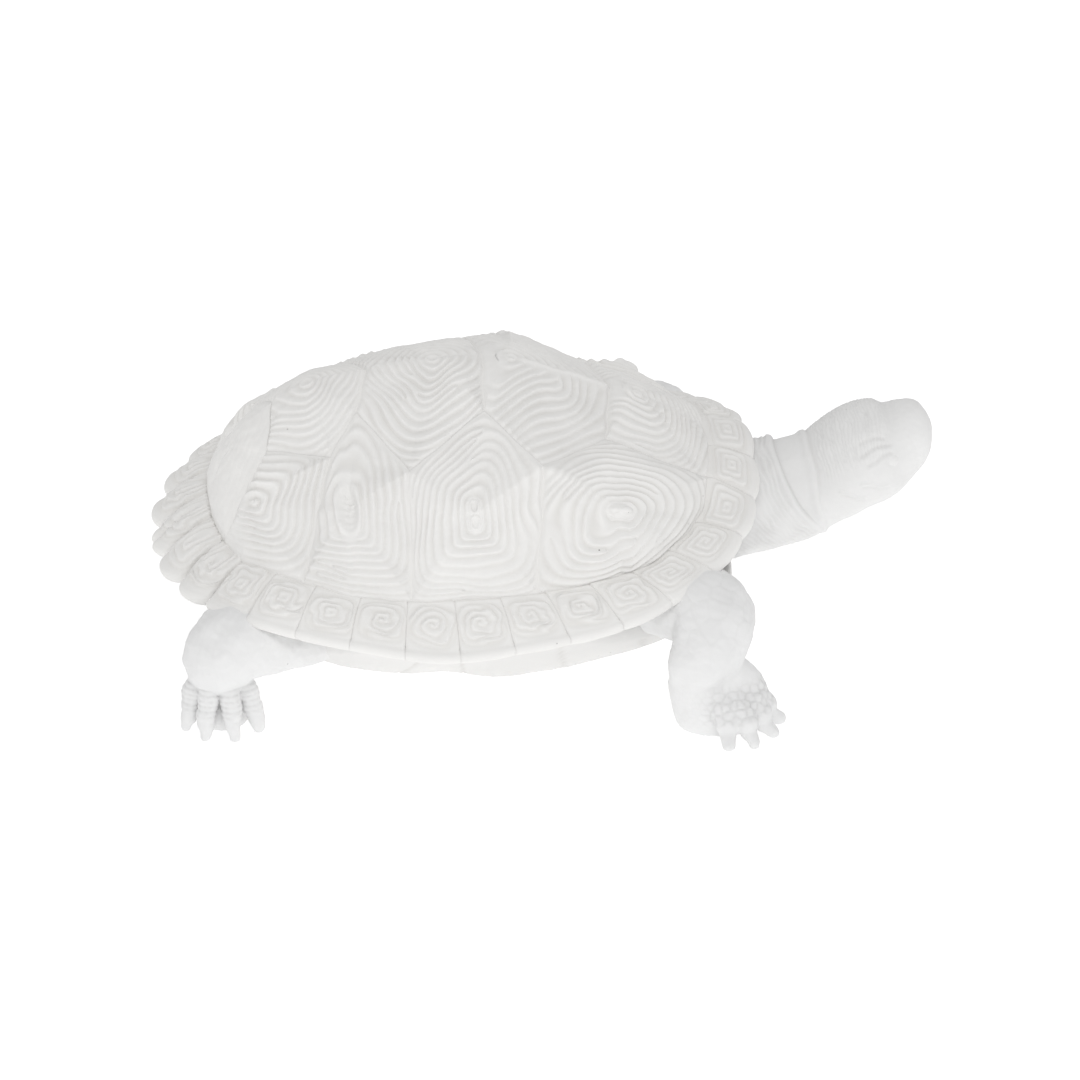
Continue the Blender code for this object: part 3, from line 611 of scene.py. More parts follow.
def edge_plate(name, start, end, seed):
    """One edge plate between two angles: closed sections from border to border."""
    rng = np.random.default_rng(seed)
    wide, top_count, lip_count = 52, 64, 12
    across = np.linspace(-1, 1, wide)[:, None]
    angle = start + (end - start) * (across + 1) / 2
    middle_angle = abs(((start + end) / 2 + 180) % 360 - 180)
    rear, nose = smooth_step(128, 168, middle_angle), smooth_step(60, 20, middle_angle)
    right = RIGHT_SHIFT * ((start + end) % 720 > 360)
    tongue = smooth_step(115 + right, 150 + 0.6 * right, middle_angle)
    notch = NOTCH + TONGUE_NOTCH * tongue + NOSE_NOTCH * nose
    pinch = notch * np.abs(across) ** 2.6
    if middle_angle > 179:
        pinch = np.maximum(pinch, 0.75 * notch * np.exp(-(across / 0.16) ** 2))
    seam_radius, seam_height = plan_radius(SEAM_PLAN, angle), height_at(SEAM_HEIGHTS, angle)
    edge_radius, edge_height = plan_radius(RIM_PLAN, angle) - pinch, height_at(RIM_HEIGHTS, angle)

    # The top runs from under the dome, where it is out of sight, to the lip.
    lip = LIP_THICKNESS / 2
    down = np.linspace(0, 1, top_count)[None]
    radius = seam_radius - TUCK + (edge_radius - lip - seam_radius + TUCK) * down
    seen = np.maximum((radius - seam_radius) / (edge_radius - lip - seam_radius), 0)
    height = seam_height + (edge_height - seam_height) * seen
    height += 0.0012 * np.sin(math.pi * seen) - 0.0003
    height += 0.0012 * smooth_step(75, 35, middle_angle) * smooth_step(0.5, 0, seen)
    turn = np.linspace(0, math.pi, lip_count + 2)[None, 1:-1]
    under = np.linspace(0, 1, 14)[None]
    wall = np.linspace(0, 1, 6)[None, 1:-1]
    low_edge, low_seam = edge_height - 0.0006 - 2 * lip, seam_height - INNER_THICKNESS
    rows = np.concatenate((
        around_crown(radius, angle, height),
        around_crown(edge_radius - lip + lip * np.sin(turn), angle,
                     low_edge + lip + lip * np.cos(turn)),
        around_crown(edge_radius - lip + (seam_radius - TUCK - edge_radius + lip) * under, angle,
                     low_edge + (low_seam - low_edge) * under),
        around_crown(seam_radius - TUCK, angle, low_seam + (INNER_THICKNESS - 0.0022) * wall)), axis=1)

    # The scroll, in a frame that runs from -1 to 1 over the carved part of the top. At the nose it
    # is a nest of squares, along the sides a loose curl, and on the tongues it opens to the dome.
    drift, tilt = rng.uniform(-0.06, 0.06, 2), rng.uniform(-0.16, 0.16) * (1 - 0.6 * nose)
    p, q = across + drift[0] + 0 * seen, (seen - 0.49) / 0.42 + drift[1]
    p, q = p * math.cos(tilt) - q * math.sin(tilt), p * math.sin(tilt) + q * math.cos(tilt)
    power = rng.uniform(2.8, 4.5) + 4 * nose
    reach = np.where(q < 0, q * (1 - 0.75 * rear), q)
    out = ((np.abs(p) * 1.06) ** power + np.abs(reach) ** power) ** (1 / power)
    turns = rng.choice((-1, 0, 1, 1), 1)[0] * (nose < 0.9)
    rings = carved_rings(np.stack((p, q), axis=-1), out, rng.uniform(2.8, 3.4), seed, (), turns,
                         0.34 - 0.22 * nose)
    inside = smooth_step(1.06, 0.88, out) * smooth_step(-1.5, -1.1, q)
    frame_line = np.exp(-((out - 1.02) / 0.10) ** 2) * smooth_step(-1.5, -1.1, q)
    broken = np.clip(0.85 + 0.25 * lumps(rows[:, :top_count], 0.007, seed + 1), 0.35, 1.1)
    border = smooth_step(0.88 - 0.16 * rear, 1.0, np.abs(across)) ** 1.3
    relief = SCROLL_HEIGHT * ((rings - 0.5) * inside * broken - 0.5 * frame_line) * (1 - border)
    relief -= (0.0003 + 0.0011 * rear) * border
    swell = (0.0004 + 0.0011 * rear) * (1 - across ** 2) * smooth_step(0.0, 0.5, seen)
    facing = 1 if (start + end) / 2 < 180 else -1
    shingle = 0.0003 * across * facing * smooth_step(0.0, 0.4, seen)
    shingle *= 0.1 + 0.5 * rear + 0.3 * nose
    if middle_angle > 175:
        shingle *= 0
    lift = np.zeros(rows.shape[:2])
    lift[:, :top_count] = relief + swell + shingle
    fade = np.linspace(1, 0, lip_count)
    lift[:, top_count:top_count + lip_count] = lift[:, top_count - 1:top_count] * fade
    normal = out_from_rows(rows, (wide // 2, top_count // 2))
    lift += 0.00012 * lumps(rows, 0.010, seed + 2)
    lift[:, top_count + lip_count:] *= 0.5
    # Painted shade: the colour darkens in the scroll's grooves, at the border and frame line, and where
    # the rim runs in under the dome.
    painted_shade = np.zeros(rows.shape[:2])
    painted_shade[:, :top_count] = np.clip((1 - rings) ** 2 * inside + 0.25 * border + 0.5 * frame_line
                                    + 0.25 * smooth_step(0.07, 0.0, seen), 0, 1)
    return closed_skin(name, rows + normal * lift[..., None], painted_shade)


rim_white = cast_white("rim_white", (0.850, 0.843, 0.828), (0.785, 0.773, 0.751), pinholes=0.8)
borders = marginal_borders()
for number in range(MARGINALS):
    end = borders[(number + 1) % MARGINALS] + (360 if number == MARGINALS - 1 else 0)
    piece = edge_plate(f"edge_plate_{number + 1}", borders[number], end, 500 + 5 * number)
    piece.data.materials.append(rim_white)
    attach(piece, "root")
    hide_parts("carapace_rim")

# ------------------------------------------------------------------ belly plate
# The belly plate (plastron) is a shallow bowl, flat underneath. Its wings rise as bridges to
# the rim. A midline and five cross grooves part its plates.
PLASTRON_PLAN = (0.1150, 0.0700, 0.0590, 2.6, 2.2)
PLASTRON_EDGES = ((0, 0.0220), (35, 0.0260), (60, 0.0385), (104, 0.0390), (130, 0.0300),
                  (180, 0.0230))
PLASTRON_FLOOR = 0.0080
PLASTRON_THICKNESS = 0.0070
CROSS_GROOVES = (0.0420, 0.0120, -0.0270, -0.0700, -0.1020)
GROOVE_WIDTH, GROOVE_DEPTH = 0.0007, 0.0006


def belly_ring(fraction, degrees, lift=0.0):
    """A ring of the belly plate at a fraction of the way from its middle to its edge."""
    edge = height_at(PLASTRON_EDGES, degrees)
    wing = np.maximum(0.0, (edge - 0.0190) / 0.0200)
    fuller = 1.5 * smooth_step(90, 60, np.abs((degrees + 180) % 360 - 180))
    curl = np.maximum(0.0, (fraction - 0.62) / 0.38) ** (2.0 + fuller)
    radius = plan_radius(PLASTRON_PLAN, degrees) * fraction * (1 + 0.26 * wing * fraction ** 3)
    return around_crown(radius, degrees, PLASTRON_FLOOR + (edge - PLASTRON_FLOOR) * curl + lift)


def belly_plate():
    degrees = np.linspace(0, 360, 320, endpoint=False)[None]
    under_count = 110
    out = np.linspace(0.02, 0.985, under_count)[:, None]
    under = belly_ring(out, degrees)
    turn = np.linspace(0, math.pi, 12)[1:-1, None]
    rim = belly_ring(0.985 + 0.015 * np.sin(turn), degrees, PLASTRON_THICKNESS / 2 * (1 - np.cos(turn)))
    over = belly_ring(np.linspace(0.985, 0.30, 24)[:, None], degrees, PLASTRON_THICKNESS)
    rows = np.concatenate((under, rim, over))
    x, y = under[..., 0], under[..., 1]
    cut = np.exp(-((y + 0.0006 * np.sin(x * 180)) / GROOVE_WIDTH) ** 2)
    for place in CROSS_GROOVES:
        bow = place - 0.012 * np.abs(y / 0.06) ** 1.5 * (1 if place > -0.03 else -1)
        cut = np.maximum(cut, np.exp(-((x - bow - 0.0006 * np.sin(y * 160)) / GROOVE_WIDTH) ** 2))
    lift = np.zeros(rows.shape[:2])
    lift[:under_count] = GROOVE_DEPTH * cut
    lift += 0.00025 * lumps(rows, 0.020, 71) + 0.00007 * lumps(rows, 0.004, 72)
    normal = out_from_rows(rows, 5)
    # Painted shade in the grooves that part the belly's plates.
    painted_shade = np.zeros(rows.shape[:2])
    painted_shade[:under_count] = cut
    return closed_skin("belly_plate", rows + normal * lift[..., None], painted_shade)


# The belly's white is the casting's white made darker: painted shade.
belly_white_shaded = cast_white("belly_white_shaded", (0.795, 0.790, 0.779), (0.72, 0.71, 0.694), pinholes=0.5)
piece = belly_plate()
piece.data.materials.append(belly_white_shaded)
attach(piece, "root")
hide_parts("plastron")

# ------------------------------------------------------------------ skin between the shells
# Soft, folded skin fills the space between the two shells. It draws in over the leg pockets
# and flares out to meet the rim and the belly plate.

# How far in it draws half way up, at angles from the front.
TRUNK_TUCK = ((0, 0.008), (28, 0.020), (45, 0.014), (75, 0.003), (100, 0.003), (130, 0.009),
              (155, 0.009), (180, 0.004))


def trunk_skin():
    degrees = np.linspace(0, 360, 360, endpoint=False)[None]
    up = np.linspace(0, 1, 70)[:, None]
    low, high = belly_ring(0.93, degrees, PLASTRON_THICKNESS - 0.001), seam_points(degrees)
    high = high + (0, 0, 0.0006 - INNER_THICKNESS)
    low_radius = np.linalg.norm(low[..., :2] - (CROWN_X, 0), axis=-1)
    high_radius = plan_radius(SEAM_PLAN, degrees) * 0.992
    tuck = height_at(TRUNK_TUCK, degrees) * np.sin(math.pi * up) ** 0.8
    radius = low_radius * (1 - up) + high_radius * up - tuck
    wall = around_crown(radius, degrees, low[..., 2] * (1 - up) + high[..., 2] * up)
    floor = belly_ring(np.linspace(0.35, 0.90, 6)[:, None], degrees, PLASTRON_THICKNESS - 0.001)
    crown = around_crown(high_radius * np.linspace(0.96, 0.3, 6)[:, None], degrees, high[..., 2])
    rows = np.concatenate((floor, wall, crown))
    lift = 0.0007 * lumps(rows * (1, 1, 0.55), 0.009, 81, 12) + 0.00022 * lumps(rows, 0.0030, 82, 14)
    normal = out_from_rows(rows, -3)
    lift[:6], lift[-6:] = 0, 0
    # The skin's colour darkens in its dips: painted shade.
    return closed_skin("trunk_skin", rows + normal * lift[..., None], np.clip(-lift / 0.0009, 0, 1))


# The skin's white is the casting's white made a little darker: painted shade.
skin_white_shaded = cast_white("skin_white_shaded", (0.822, 0.820, 0.815), (0.730, 0.725, 0.717), pinholes=0.4)
piece = trunk_skin()
piece.data.materials.append(skin_white_shaded)
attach(piece, "root")
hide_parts("trunk")

# ------------------------------------------------------------------ head and neck
# The neck stretches forward and up, with two rolled folds behind the head and fine wrinkles
# round its base. The head is smooth and blunt, with a brow over each eye and a small nose bump.

# Each section: x and z of its middle, up, down and sideways reach, and its tilt in degrees.
NECK_AND_HEAD = (
    (0.0500, 0.0470, 0.0180, 0.0220, 0.0240, 0), (0.0700, 0.0490, 0.0218, 0.0222, 0.0240, 2),
    (0.0850, 0.0508, 0.0218, 0.0218, 0.0222, 6), (0.0960, 0.0526, 0.0208, 0.0212, 0.0208, 16),
    (0.1040, 0.0552, 0.0198, 0.0201, 0.0197, 24), (0.1090, 0.0572, 0.0192, 0.0190, 0.0196, 26),
    (0.1140, 0.0597, 0.0193, 0.0193, 0.0204, 26), (0.1200, 0.0635, 0.0193, 0.0193, 0.0216, 24),
    (0.1262, 0.0668, 0.0196, 0.0202, 0.0216, 24), (0.1315, 0.0692, 0.0186, 0.0197, 0.0204, 22),
    (0.1372, 0.0712, 0.0152, 0.0180, 0.0168, 18), (0.1425, 0.0739, 0.0129, 0.0167, 0.0142, 12),
    (0.1475, 0.0755, 0.0106, 0.0132, 0.0118, 8), (0.1503, 0.0754, 0.0070, 0.0090, 0.0084, 4),
    (0.1516, 0.0750, 0.0032, 0.0044, 0.0040, 0),
)
# Creases over the eye, rolls on the cheek and the mouth, for the left side: points along each line.
BROW_LINES = (
    ((0.1211, 0.0152, 0.0798), (0.1244, 0.0150, 0.0811), (0.1278, 0.0145, 0.0814),
     (0.1305, 0.0142, 0.0806)),
    ((0.1212, 0.0186, 0.0758), (0.1246, 0.0179, 0.0780), (0.1280, 0.0170, 0.0790),
     (0.1326, 0.0153, 0.0783)),
    ((0.1237, 0.0205, 0.0729), (0.1264, 0.0204, 0.0741), (0.1295, 0.0190, 0.0758),
     (0.1328, 0.0174, 0.0760)),
)
BROW_DEPTHS = (0.00035, 0.00055, 0.00045)
CHEEK_ROLLS = (
    ((0.1213, 0.0219, 0.0652), (0.1246, 0.0219, 0.0649), (0.1280, 0.0214, 0.0637),
     (0.1310, 0.0208, 0.0637)),
    ((0.1132, 0.0205, 0.0617), (0.1159, 0.0211, 0.0610), (0.1192, 0.0212, 0.0590),
     (0.1220, 0.0209, 0.0584)),
)
MOUTH_LINE = ((0.1500, 0.0015, 0.0690), (0.1480, 0.0080, 0.0680), (0.1430, 0.0125, 0.0655),
              (0.1375, 0.0155, 0.0620))
NOSTRIL_AT, NOSTRIL_RADIUS = (0.1507, 0.0030, 0.0785), 0.0009
SOCKET_AT, SOCKET_RADIUS = (0.1316, 0.0197, 0.0718), 0.0055
# Humps and dips along the top of the head: x, half width and height.
CROWN_HUMPS = ((0.1295, 0.0034, 0.0013), (0.1350, 0.0022, -0.0012), (0.1440, 0.0040, 0.0008))
# Collar folds of the neck: x and z where each crosses the side, its tilt in degrees, then the
# height of its lip, the depth of the step in front and how soon the step fills up again.
NECK_FOLDS = ((0.0930, 0.0640, 30, 0.0010, 0.0016, 0.0050),
              (0.1042, 0.0640, 12, 0.0005, 0.0010, 0.0030))


def through_points(keys, per_span):
    """Smooth (Catmull-Rom) rows of numbers through keys, at even steps."""
    keys = np.array(keys, float)
    padded = np.concatenate(([2 * keys[0] - keys[1]], keys, [2 * keys[-1] - keys[-2]]))
    t = np.linspace(0, 1, per_span, endpoint=False)[:, None]
    spans = []
    for i in range(1, len(padded) - 2):
        a, b, c, d = padded[i - 1:i + 3]
        spans.append(0.5 * (2 * b + (c - a) * t + (2 * a - 5 * b + 4 * c - d) * t * t
                            + (3 * b - a - 3 * c + d) * t ** 3))
    return np.concatenate(spans + [keys[-1:]])


def groove_along(points, path, width):
    """How near points are to a line through path, from 0 to 1 at the line itself."""
    path = through_points(path, 12)
    gap = np.full(points.shape[:-1], 9.0)
    for spot in path:
        gap = np.minimum(gap, ((points - spot) ** 2).sum(axis=-1))
    return np.exp(-gap / width ** 2)


def head_and_neck():
    keys = through_points(NECK_AND_HEAD, 19)
    x, z, rise, drop, wide, tilt = (keys[:, column][:, None] for column in range(6))
    turn = np.linspace(0, 2 * math.pi, 230, endpoint=False)[None]
    lean = np.radians(tilt)
    up = np.where(np.cos(turn) > 0, rise, drop) * np.cos(turn)
    across = wide * np.sin(turn)
    rows = np.stack((x - up * np.sin(lean), across + 0 * x, z + up * np.cos(lean)), axis=-1)
    normal = out_from_rows(rows, (40, 0))
    mirrored = rows.copy()
    mirrored[..., 1] = side = np.abs(rows[..., 1])

    # Two folds: planes across the neck, each a rolled lip with a step down in front of it.
    # Below, the colour is darkened in the folds, wrinkles, creases, mouth line and nostrils: painted
    # shade.
    lift, painted_shade = np.zeros(rows.shape[:2]), np.zeros(rows.shape[:2])
    waver = 0.0005 * lumps(rows, 0.020, 91)
    for number, (fold_x, fold_z, fold_tilt, roll, step, recover) in enumerate(NECK_FOLDS):
        fold = math.radians(fold_tilt)
        bow = (0.0022 if number == 0 else 0.0006) * ((rows[..., 2] - 0.058) / 0.016) ** 2
        ahead = ((rows[..., 0] - fold_x) * math.cos(fold) + (rows[..., 2] - fold_z) * math.sin(fold)
                 + waver - bow)
        sunk = smooth_step(0.0, 0.0007, ahead) * np.exp(-np.maximum(ahead, 0) / recover)
        high = smooth_step(0.041, 0.056, rows[..., 2])
        if number:
            high = 0.25 + 0.75 * smooth_step(0.052, 0.068, rows[..., 2])
        full = 1.9 - 0.9 * high if number else high
        lift += roll * full * np.exp(-((ahead + 0.0012) / 0.0014) ** 2) - step * sunk * high
        painted_shade += (0.9 * np.exp(-((ahead - 0.0006) / 0.0007) ** 2) + 0.25 * sunk) * (high - 0.2)
        if number == 0:
            behind = smooth_step(-0.0008, -0.003, ahead)
            ripple = 1.6 * lumps(rows, 0.011, 92) + 0.8 * lumps(rows, 0.005, 93)
            ripple += ahead * 2 * math.pi / 0.0021
    wrinkle = (0.5 + 0.5 * np.sin(ripple)) ** 1.5
    strong = behind * np.clip(0.75 + 0.5 * lumps(rows, 0.014, 94), 0.15, 1.2)
    lift += 0.00048 * (wrinkle - 0.4) * strong
    painted_shade += 0.6 * (1 - wrinkle) ** 2 * strong
    nape = smooth_step(0.001, 0.004, ahead) * smooth_step(0.135, 0.128, rows[..., 0])
    nape *= smooth_step(0.15, 0.75, np.cos(turn) + 0 * ahead)
    scratch = np.sin(ahead * 2 * math.pi / 0.0013 + 2.2 * lumps(rows, 0.008, 95)
                     + lumps(rows, 0.003, 96))
    lift += 0.00015 * scratch * nape
    painted_shade += 0.35 * np.maximum(-scratch, 0) * nape

    # Creases and lids round the eye, rolls on the cheek, the mouth line and the nostrils.
    near = smooth_step(0.004, 0.006, side)
    gap = np.sqrt(((mirrored - SOCKET_AT) ** 2).sum(axis=-1))
    lift += 0.0005 * near * np.exp(-(gap / SOCKET_RADIUS) ** 2)
    for path, depth in zip(BROW_LINES, BROW_DEPTHS):
        crease = groove_along(mirrored, path, 0.0008)
        lift -= depth * crease
        shifted = tuple((a + 0.0003, b, c - 0.0013) for a, b, c in path)
        lift += 0.4 * depth * groove_along(mirrored, shifted, 0.0008)
        painted_shade += 0.5 * crease
    for path in CHEEK_ROLLS:
        lift += 0.0006 * groove_along(mirrored, path, 0.0009)
        dip = groove_along(mirrored, tuple((a + 0.0004, b, c - 0.0017) for a, b, c in path), 0.0008)
        lift -= 0.0003 * dip
        painted_shade += 0.5 * dip
    mouth = groove_along(mirrored, MOUTH_LINE, 0.0005)
    nostril = np.exp(-((mirrored - NOSTRIL_AT) ** 2).sum(axis=-1) / NOSTRIL_RADIUS ** 2)
    lift -= 0.00015 * mouth + 0.0006 * nostril
    painted_shade += nostril + 0.15 * mouth
    on_top = smooth_step(0.60, 1.0, np.cos(turn) + 0 * side)
    for place, width, height in CROWN_HUMPS:
        lift += height * on_top * np.exp(-((rows[..., 0] - place) / width) ** 2)
    lift += 0.00020 * lumps(rows, 0.011, 97) + 0.00005 * lumps(rows, 0.0030, 98, 14)
    surface = rows + normal * lift[..., None]
    snout = surface[-1].mean(axis=0) + (0.0005, 0, 0)
    return closed_skin("head_and_neck", surface, np.clip(painted_shade, 0, 1), finish=snout)


piece = head_and_neck()
piece.data.materials.append(skin_white_shaded)
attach(piece, "root")
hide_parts("head", "neck")

# ------------------------------------------------------------------ eyes
# Each eye is a smooth ball that fills its socket under the lids. It is cast in one with the
# head, in the same white, and is only a little smoother.
EYE_AT = (0.1316, 0.0150, 0.0716)
EYE_RADIUS = 0.0047


def eye_ball(name, side):
    turn = np.linspace(0, 2 * math.pi, 56, endpoint=False)[None]
    fall = np.linspace(0.06, math.pi - 0.06, 40)[:, None]
    rows = np.stack((np.sin(fall) * np.cos(turn), np.cos(fall) + 0 * turn,
                     np.sin(fall) * np.sin(turn)), axis=-1)
    rows = rows * EYE_RADIUS * (1.12, 1.0, 0.92) + np.array(EYE_AT) * (1, side, 1)
    lift = 0.00006 * lumps(rows, 0.004, 61)
    return closed_skin(name, rows + out_from_rows(rows, (20, 14)) * lift[..., None],
                       np.zeros(rows.shape[:2]))


eye_white = cast_white("eye_white", (0.845, 0.842, 0.836), (0.78, 0.775, 0.768),
                       grain=0.00005, pinholes=0.0, rough=0.72)
for name, side in (("eye_left", 1), ("eye_right", -1)):
    piece = eye_ball(name, side)
    piece.data.materials.append(eye_white)
    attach(piece, "root")
    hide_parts(name)

# ------------------------------------------------------------------ legs and feet
# Each leg is one piece with its foot: plate-like scales on the upper arm, bead-like scales on
# the top of the foot, banded toes, and blunt conical claws that reach past a flat sole.
FRONT_LEG = (((0.0240, 0.0300, 0.0370), 0.0135), ((0.0370, 0.0470, 0.0380), 0.0140),
             ((0.0475, 0.0610, 0.0425), 0.0154), ((0.0548, 0.0725, 0.0435), 0.0162),
             ((0.0521, 0.0812, 0.0355), 0.0140), ((0.0480, 0.0810, 0.0265), 0.0112),
             ((0.0510, 0.0752, 0.0110), 0.0118))
HIND_LEG = (((-0.0700, 0.0260, 0.0340), 0.0140), ((-0.0920, 0.0420, 0.0345), 0.0152),
            ((-0.1120, 0.0530, 0.0378), 0.0158), ((-0.1245, 0.0592, 0.0390), 0.0156),
            ((-0.1305, 0.0575, 0.0312), 0.0140), ((-0.1305, 0.0500, 0.0225), 0.0106),
            ((-0.1300, 0.0505, 0.0080), 0.0084))
# A foot: centre and size of its pad, toes by heading in degrees and reach, and for points along
# a toe its share of the reach, height and radius. The left hind foot stands a step further on.
FRONT_FOOT = ((0.0580, 0.0800, 0.0085), (0.0178, 0.0110, 0.0215),
              ((-91, 0.0176), (-65, 0.0194), (-37, 0.0196), (-12, 0.0190), (24, 0.0180)),
              ((0.30, 0.0165, 0.0050), (0.64, 0.0124, 0.0053), (0.84, 0.0086, 0.0047),
               (0.93, 0.0052, 0.0031), (1.13, 0.0028, 0.0026)))
HIND_FOOT = ((-0.1300, 0.0520, 0.0060), (0.0112, 0.0106, 0.0110),
             ((-152, 0.0150), (-117, 0.0158), (-80, 0.0162), (-44, 0.0160)),
             ((0.70, 0.0225, 0.0034), (0.84, 0.0170, 0.0038), (0.94, 0.0115, 0.0038),
              (1.01, 0.0070, 0.0031), (1.10, 0.0026, 0.0020)))
LEFT_HIND_STEP = (0.0090, -0.0020, 0.0)
# The carving of each end: how strong the bands on the toes are, their pitch, between which places
# along a toe they set in, how strong the plates and the beads are, and which way the beads face.
LEG_CARVING = {
    "front": (0.15, 0.0024, (0.001, 0.003), 0.30, 0.9,
              (math.cos(math.radians(40)), math.sin(math.radians(40)), 0)),
    "hind": (1.0, 0.0021, (-0.007, -0.005), 0.15, 0.35, (0.0, 1.0, 0.0)),
}
SKIN_PITCH = 0.00068             # metres between the skin's points
PLATE_SPACING, BEAD_SPACING = 0.0062, 0.0027


def bone(points, start, end, start_radius, end_radius):
    """Distance from points to a straight limb that narrows from one end to the other."""
    start, end = np.array(start), np.array(end)
    along = end - start
    share = np.clip((points - start) @ along / (along @ along), 0, 1)
    return np.linalg.norm(points - start - share[..., None] * along, axis=-1) \
        - (start_radius + share * (end_radius - start_radius))


def meld(first, second, blend):
    """Joins two distances with a soft fillet about as wide as blend."""
    near = np.maximum(blend - np.abs(first - second), 0) / blend
    return np.minimum(first, second) - near * near * blend / 4


def toe_points(foot, heading, reach):
    """A toe from inside the pad to the tip of its claw: points and radii."""
    centre, _, _, toe_shape = foot
    turn = math.radians(-heading)
    ahead = np.array((math.cos(turn), math.sin(turn), 0))
    spots = []
    for share, height, radius in toe_shape:
        spot = np.array(centre) + ahead * reach * share
        spots.append(((spot[0], spot[1], height), radius))
    return spots


def leg_distance(points, limb, foot):
    """Distance from points to a whole left leg: limb, pad, toes and claws, cut flat at the sole."""
    knots = through_points([(*place, radius) for place, radius in limb], 6)
    body = np.full(points.shape[:-1], 1.0)
    for a, b in zip(knots, knots[1:]):
        body = np.minimum(body, bone(points, a[:3], b[:3], a[3], b[3]))
    centre, size, toes, _ = foot
    scaled = (points - centre) / size
    away = np.linalg.norm(scaled, axis=-1)
    slope = np.maximum(np.linalg.norm(scaled / size, axis=-1), 1e-9)
    body = meld(body, away * (away - 1) / slope, 0.005)
    for heading, reach in toes:
        spots = toe_points(foot, heading, reach)
        toe = np.full(points.shape[:-1], 1.0)
        for (a, ra), (b, rb) in zip(spots, spots[1:]):
            toe = meld(toe, bone(points, a, b, ra, rb), 0.0006)
        body = meld(body, toe, 0.0012)
    return np.maximum(body, -points[..., 2])


def skin_over(distance, low, high, pitch):
    """Quads over the zero level of a distance, with one point in each grid cell that it crosses."""
    axes = [np.arange(low[axis], high[axis] + pitch, pitch) for axis in range(3)]
    grid = np.stack(np.meshgrid(*axes, indexing="ij"), axis=-1)
    field = np.concatenate([distance(slab) for slab in np.array_split(grid, 12)])
    cells = tuple(size - 1 for size in field.shape)
    offsets = [(i, j, k) for i in (0, 1) for j in (0, 1) for k in (0, 1)]
    corners = np.stack([field[i:i + cells[0], j:j + cells[1], k:k + cells[2]]
                        for i, j, k in offsets], axis=-1)
    inside = corners < 0
    crossed = inside.any(axis=-1) & ~inside.all(axis=-1)
    number = np.full(cells, -1)
    number[crossed] = np.arange(crossed.sum())
    values, total, hits = corners[crossed], np.zeros((crossed.sum(), 3)), np.zeros(crossed.sum())
    for a, first in enumerate(offsets):
        for b, second in enumerate(offsets):
            if b > a and sum(abs(m - n) for m, n in zip(first, second)) == 1:
                hit = (values[:, a] < 0) != (values[:, b] < 0)
                fall = np.where(hit, values[:, a] - values[:, b], 1)
                share = np.where(hit, values[:, a] / fall, 0)[:, None]
                total += np.where(hit[:, None], np.array(first) + share * (np.array(second) - first), 0)
                hits += hit
    base = np.stack(np.nonzero(crossed), axis=1)
    points = np.array([axis[0] for axis in axes]) + pitch * (base + total / hits[:, None])
    quads = []
    for axis in range(3):
        one, two = (axis + 1) % 3, (axis + 2) % 3
        here = np.take(field, range(cells[axis]), axis) < 0
        there = np.take(field, range(1, cells[axis] + 1), axis) < 0
        spots = np.stack(np.nonzero(here != there), axis=1)
        for side in (one, two):
            spots = spots[(spots[:, side] > 0) & (spots[:, side] < cells[side])]
        out = here[tuple(spots.T)]
        loop = []
        for back_one, back_two in ((1, 1), (0, 1), (0, 0), (1, 0)):
            cell = spots.copy()
            cell[:, one] -= back_one
            cell[:, two] -= back_two
            loop.append(number[tuple(cell.T)])
        loop = np.stack(loop, axis=1)
        quads += [loop[out], loop[~out][:, ::-1]]
    return points, np.concatenate(quads)


def lean_of(distance, points, step=0.0002):
    """Unit direction in which a distance grows fastest at each point."""
    lean = np.stack([distance(points + step * unit) - distance(points - step * unit)
                     for unit in np.eye(3)], axis=-1)
    return lean / np.maximum(np.linalg.norm(lean, axis=-1, keepdims=True), 1e-12)


def scale_cells(points, seeds):
    """For scales round seed spots: how far into its own scale a point lies, from 0 at an edge."""
    nearest, second = np.full(len(points), 9.0), np.full(len(points), 9.0)
    for seed in seeds:
        gap = np.linalg.norm(points - seed, axis=-1)
        second = np.minimum(second, np.maximum(nearest, gap))
        nearest = np.minimum(nearest, gap)
    return second - nearest


def spread_seeds(points, spacing, seed):
    """Spots picked from points so that no two are nearer than spacing."""
    rng = np.random.default_rng(seed)
    left, chosen = points[rng.permutation(len(points))], []
    while len(left):
        chosen.append(left[0])
        left = left[np.linalg.norm(left - left[0], axis=-1) > spacing]
    return np.array(chosen)


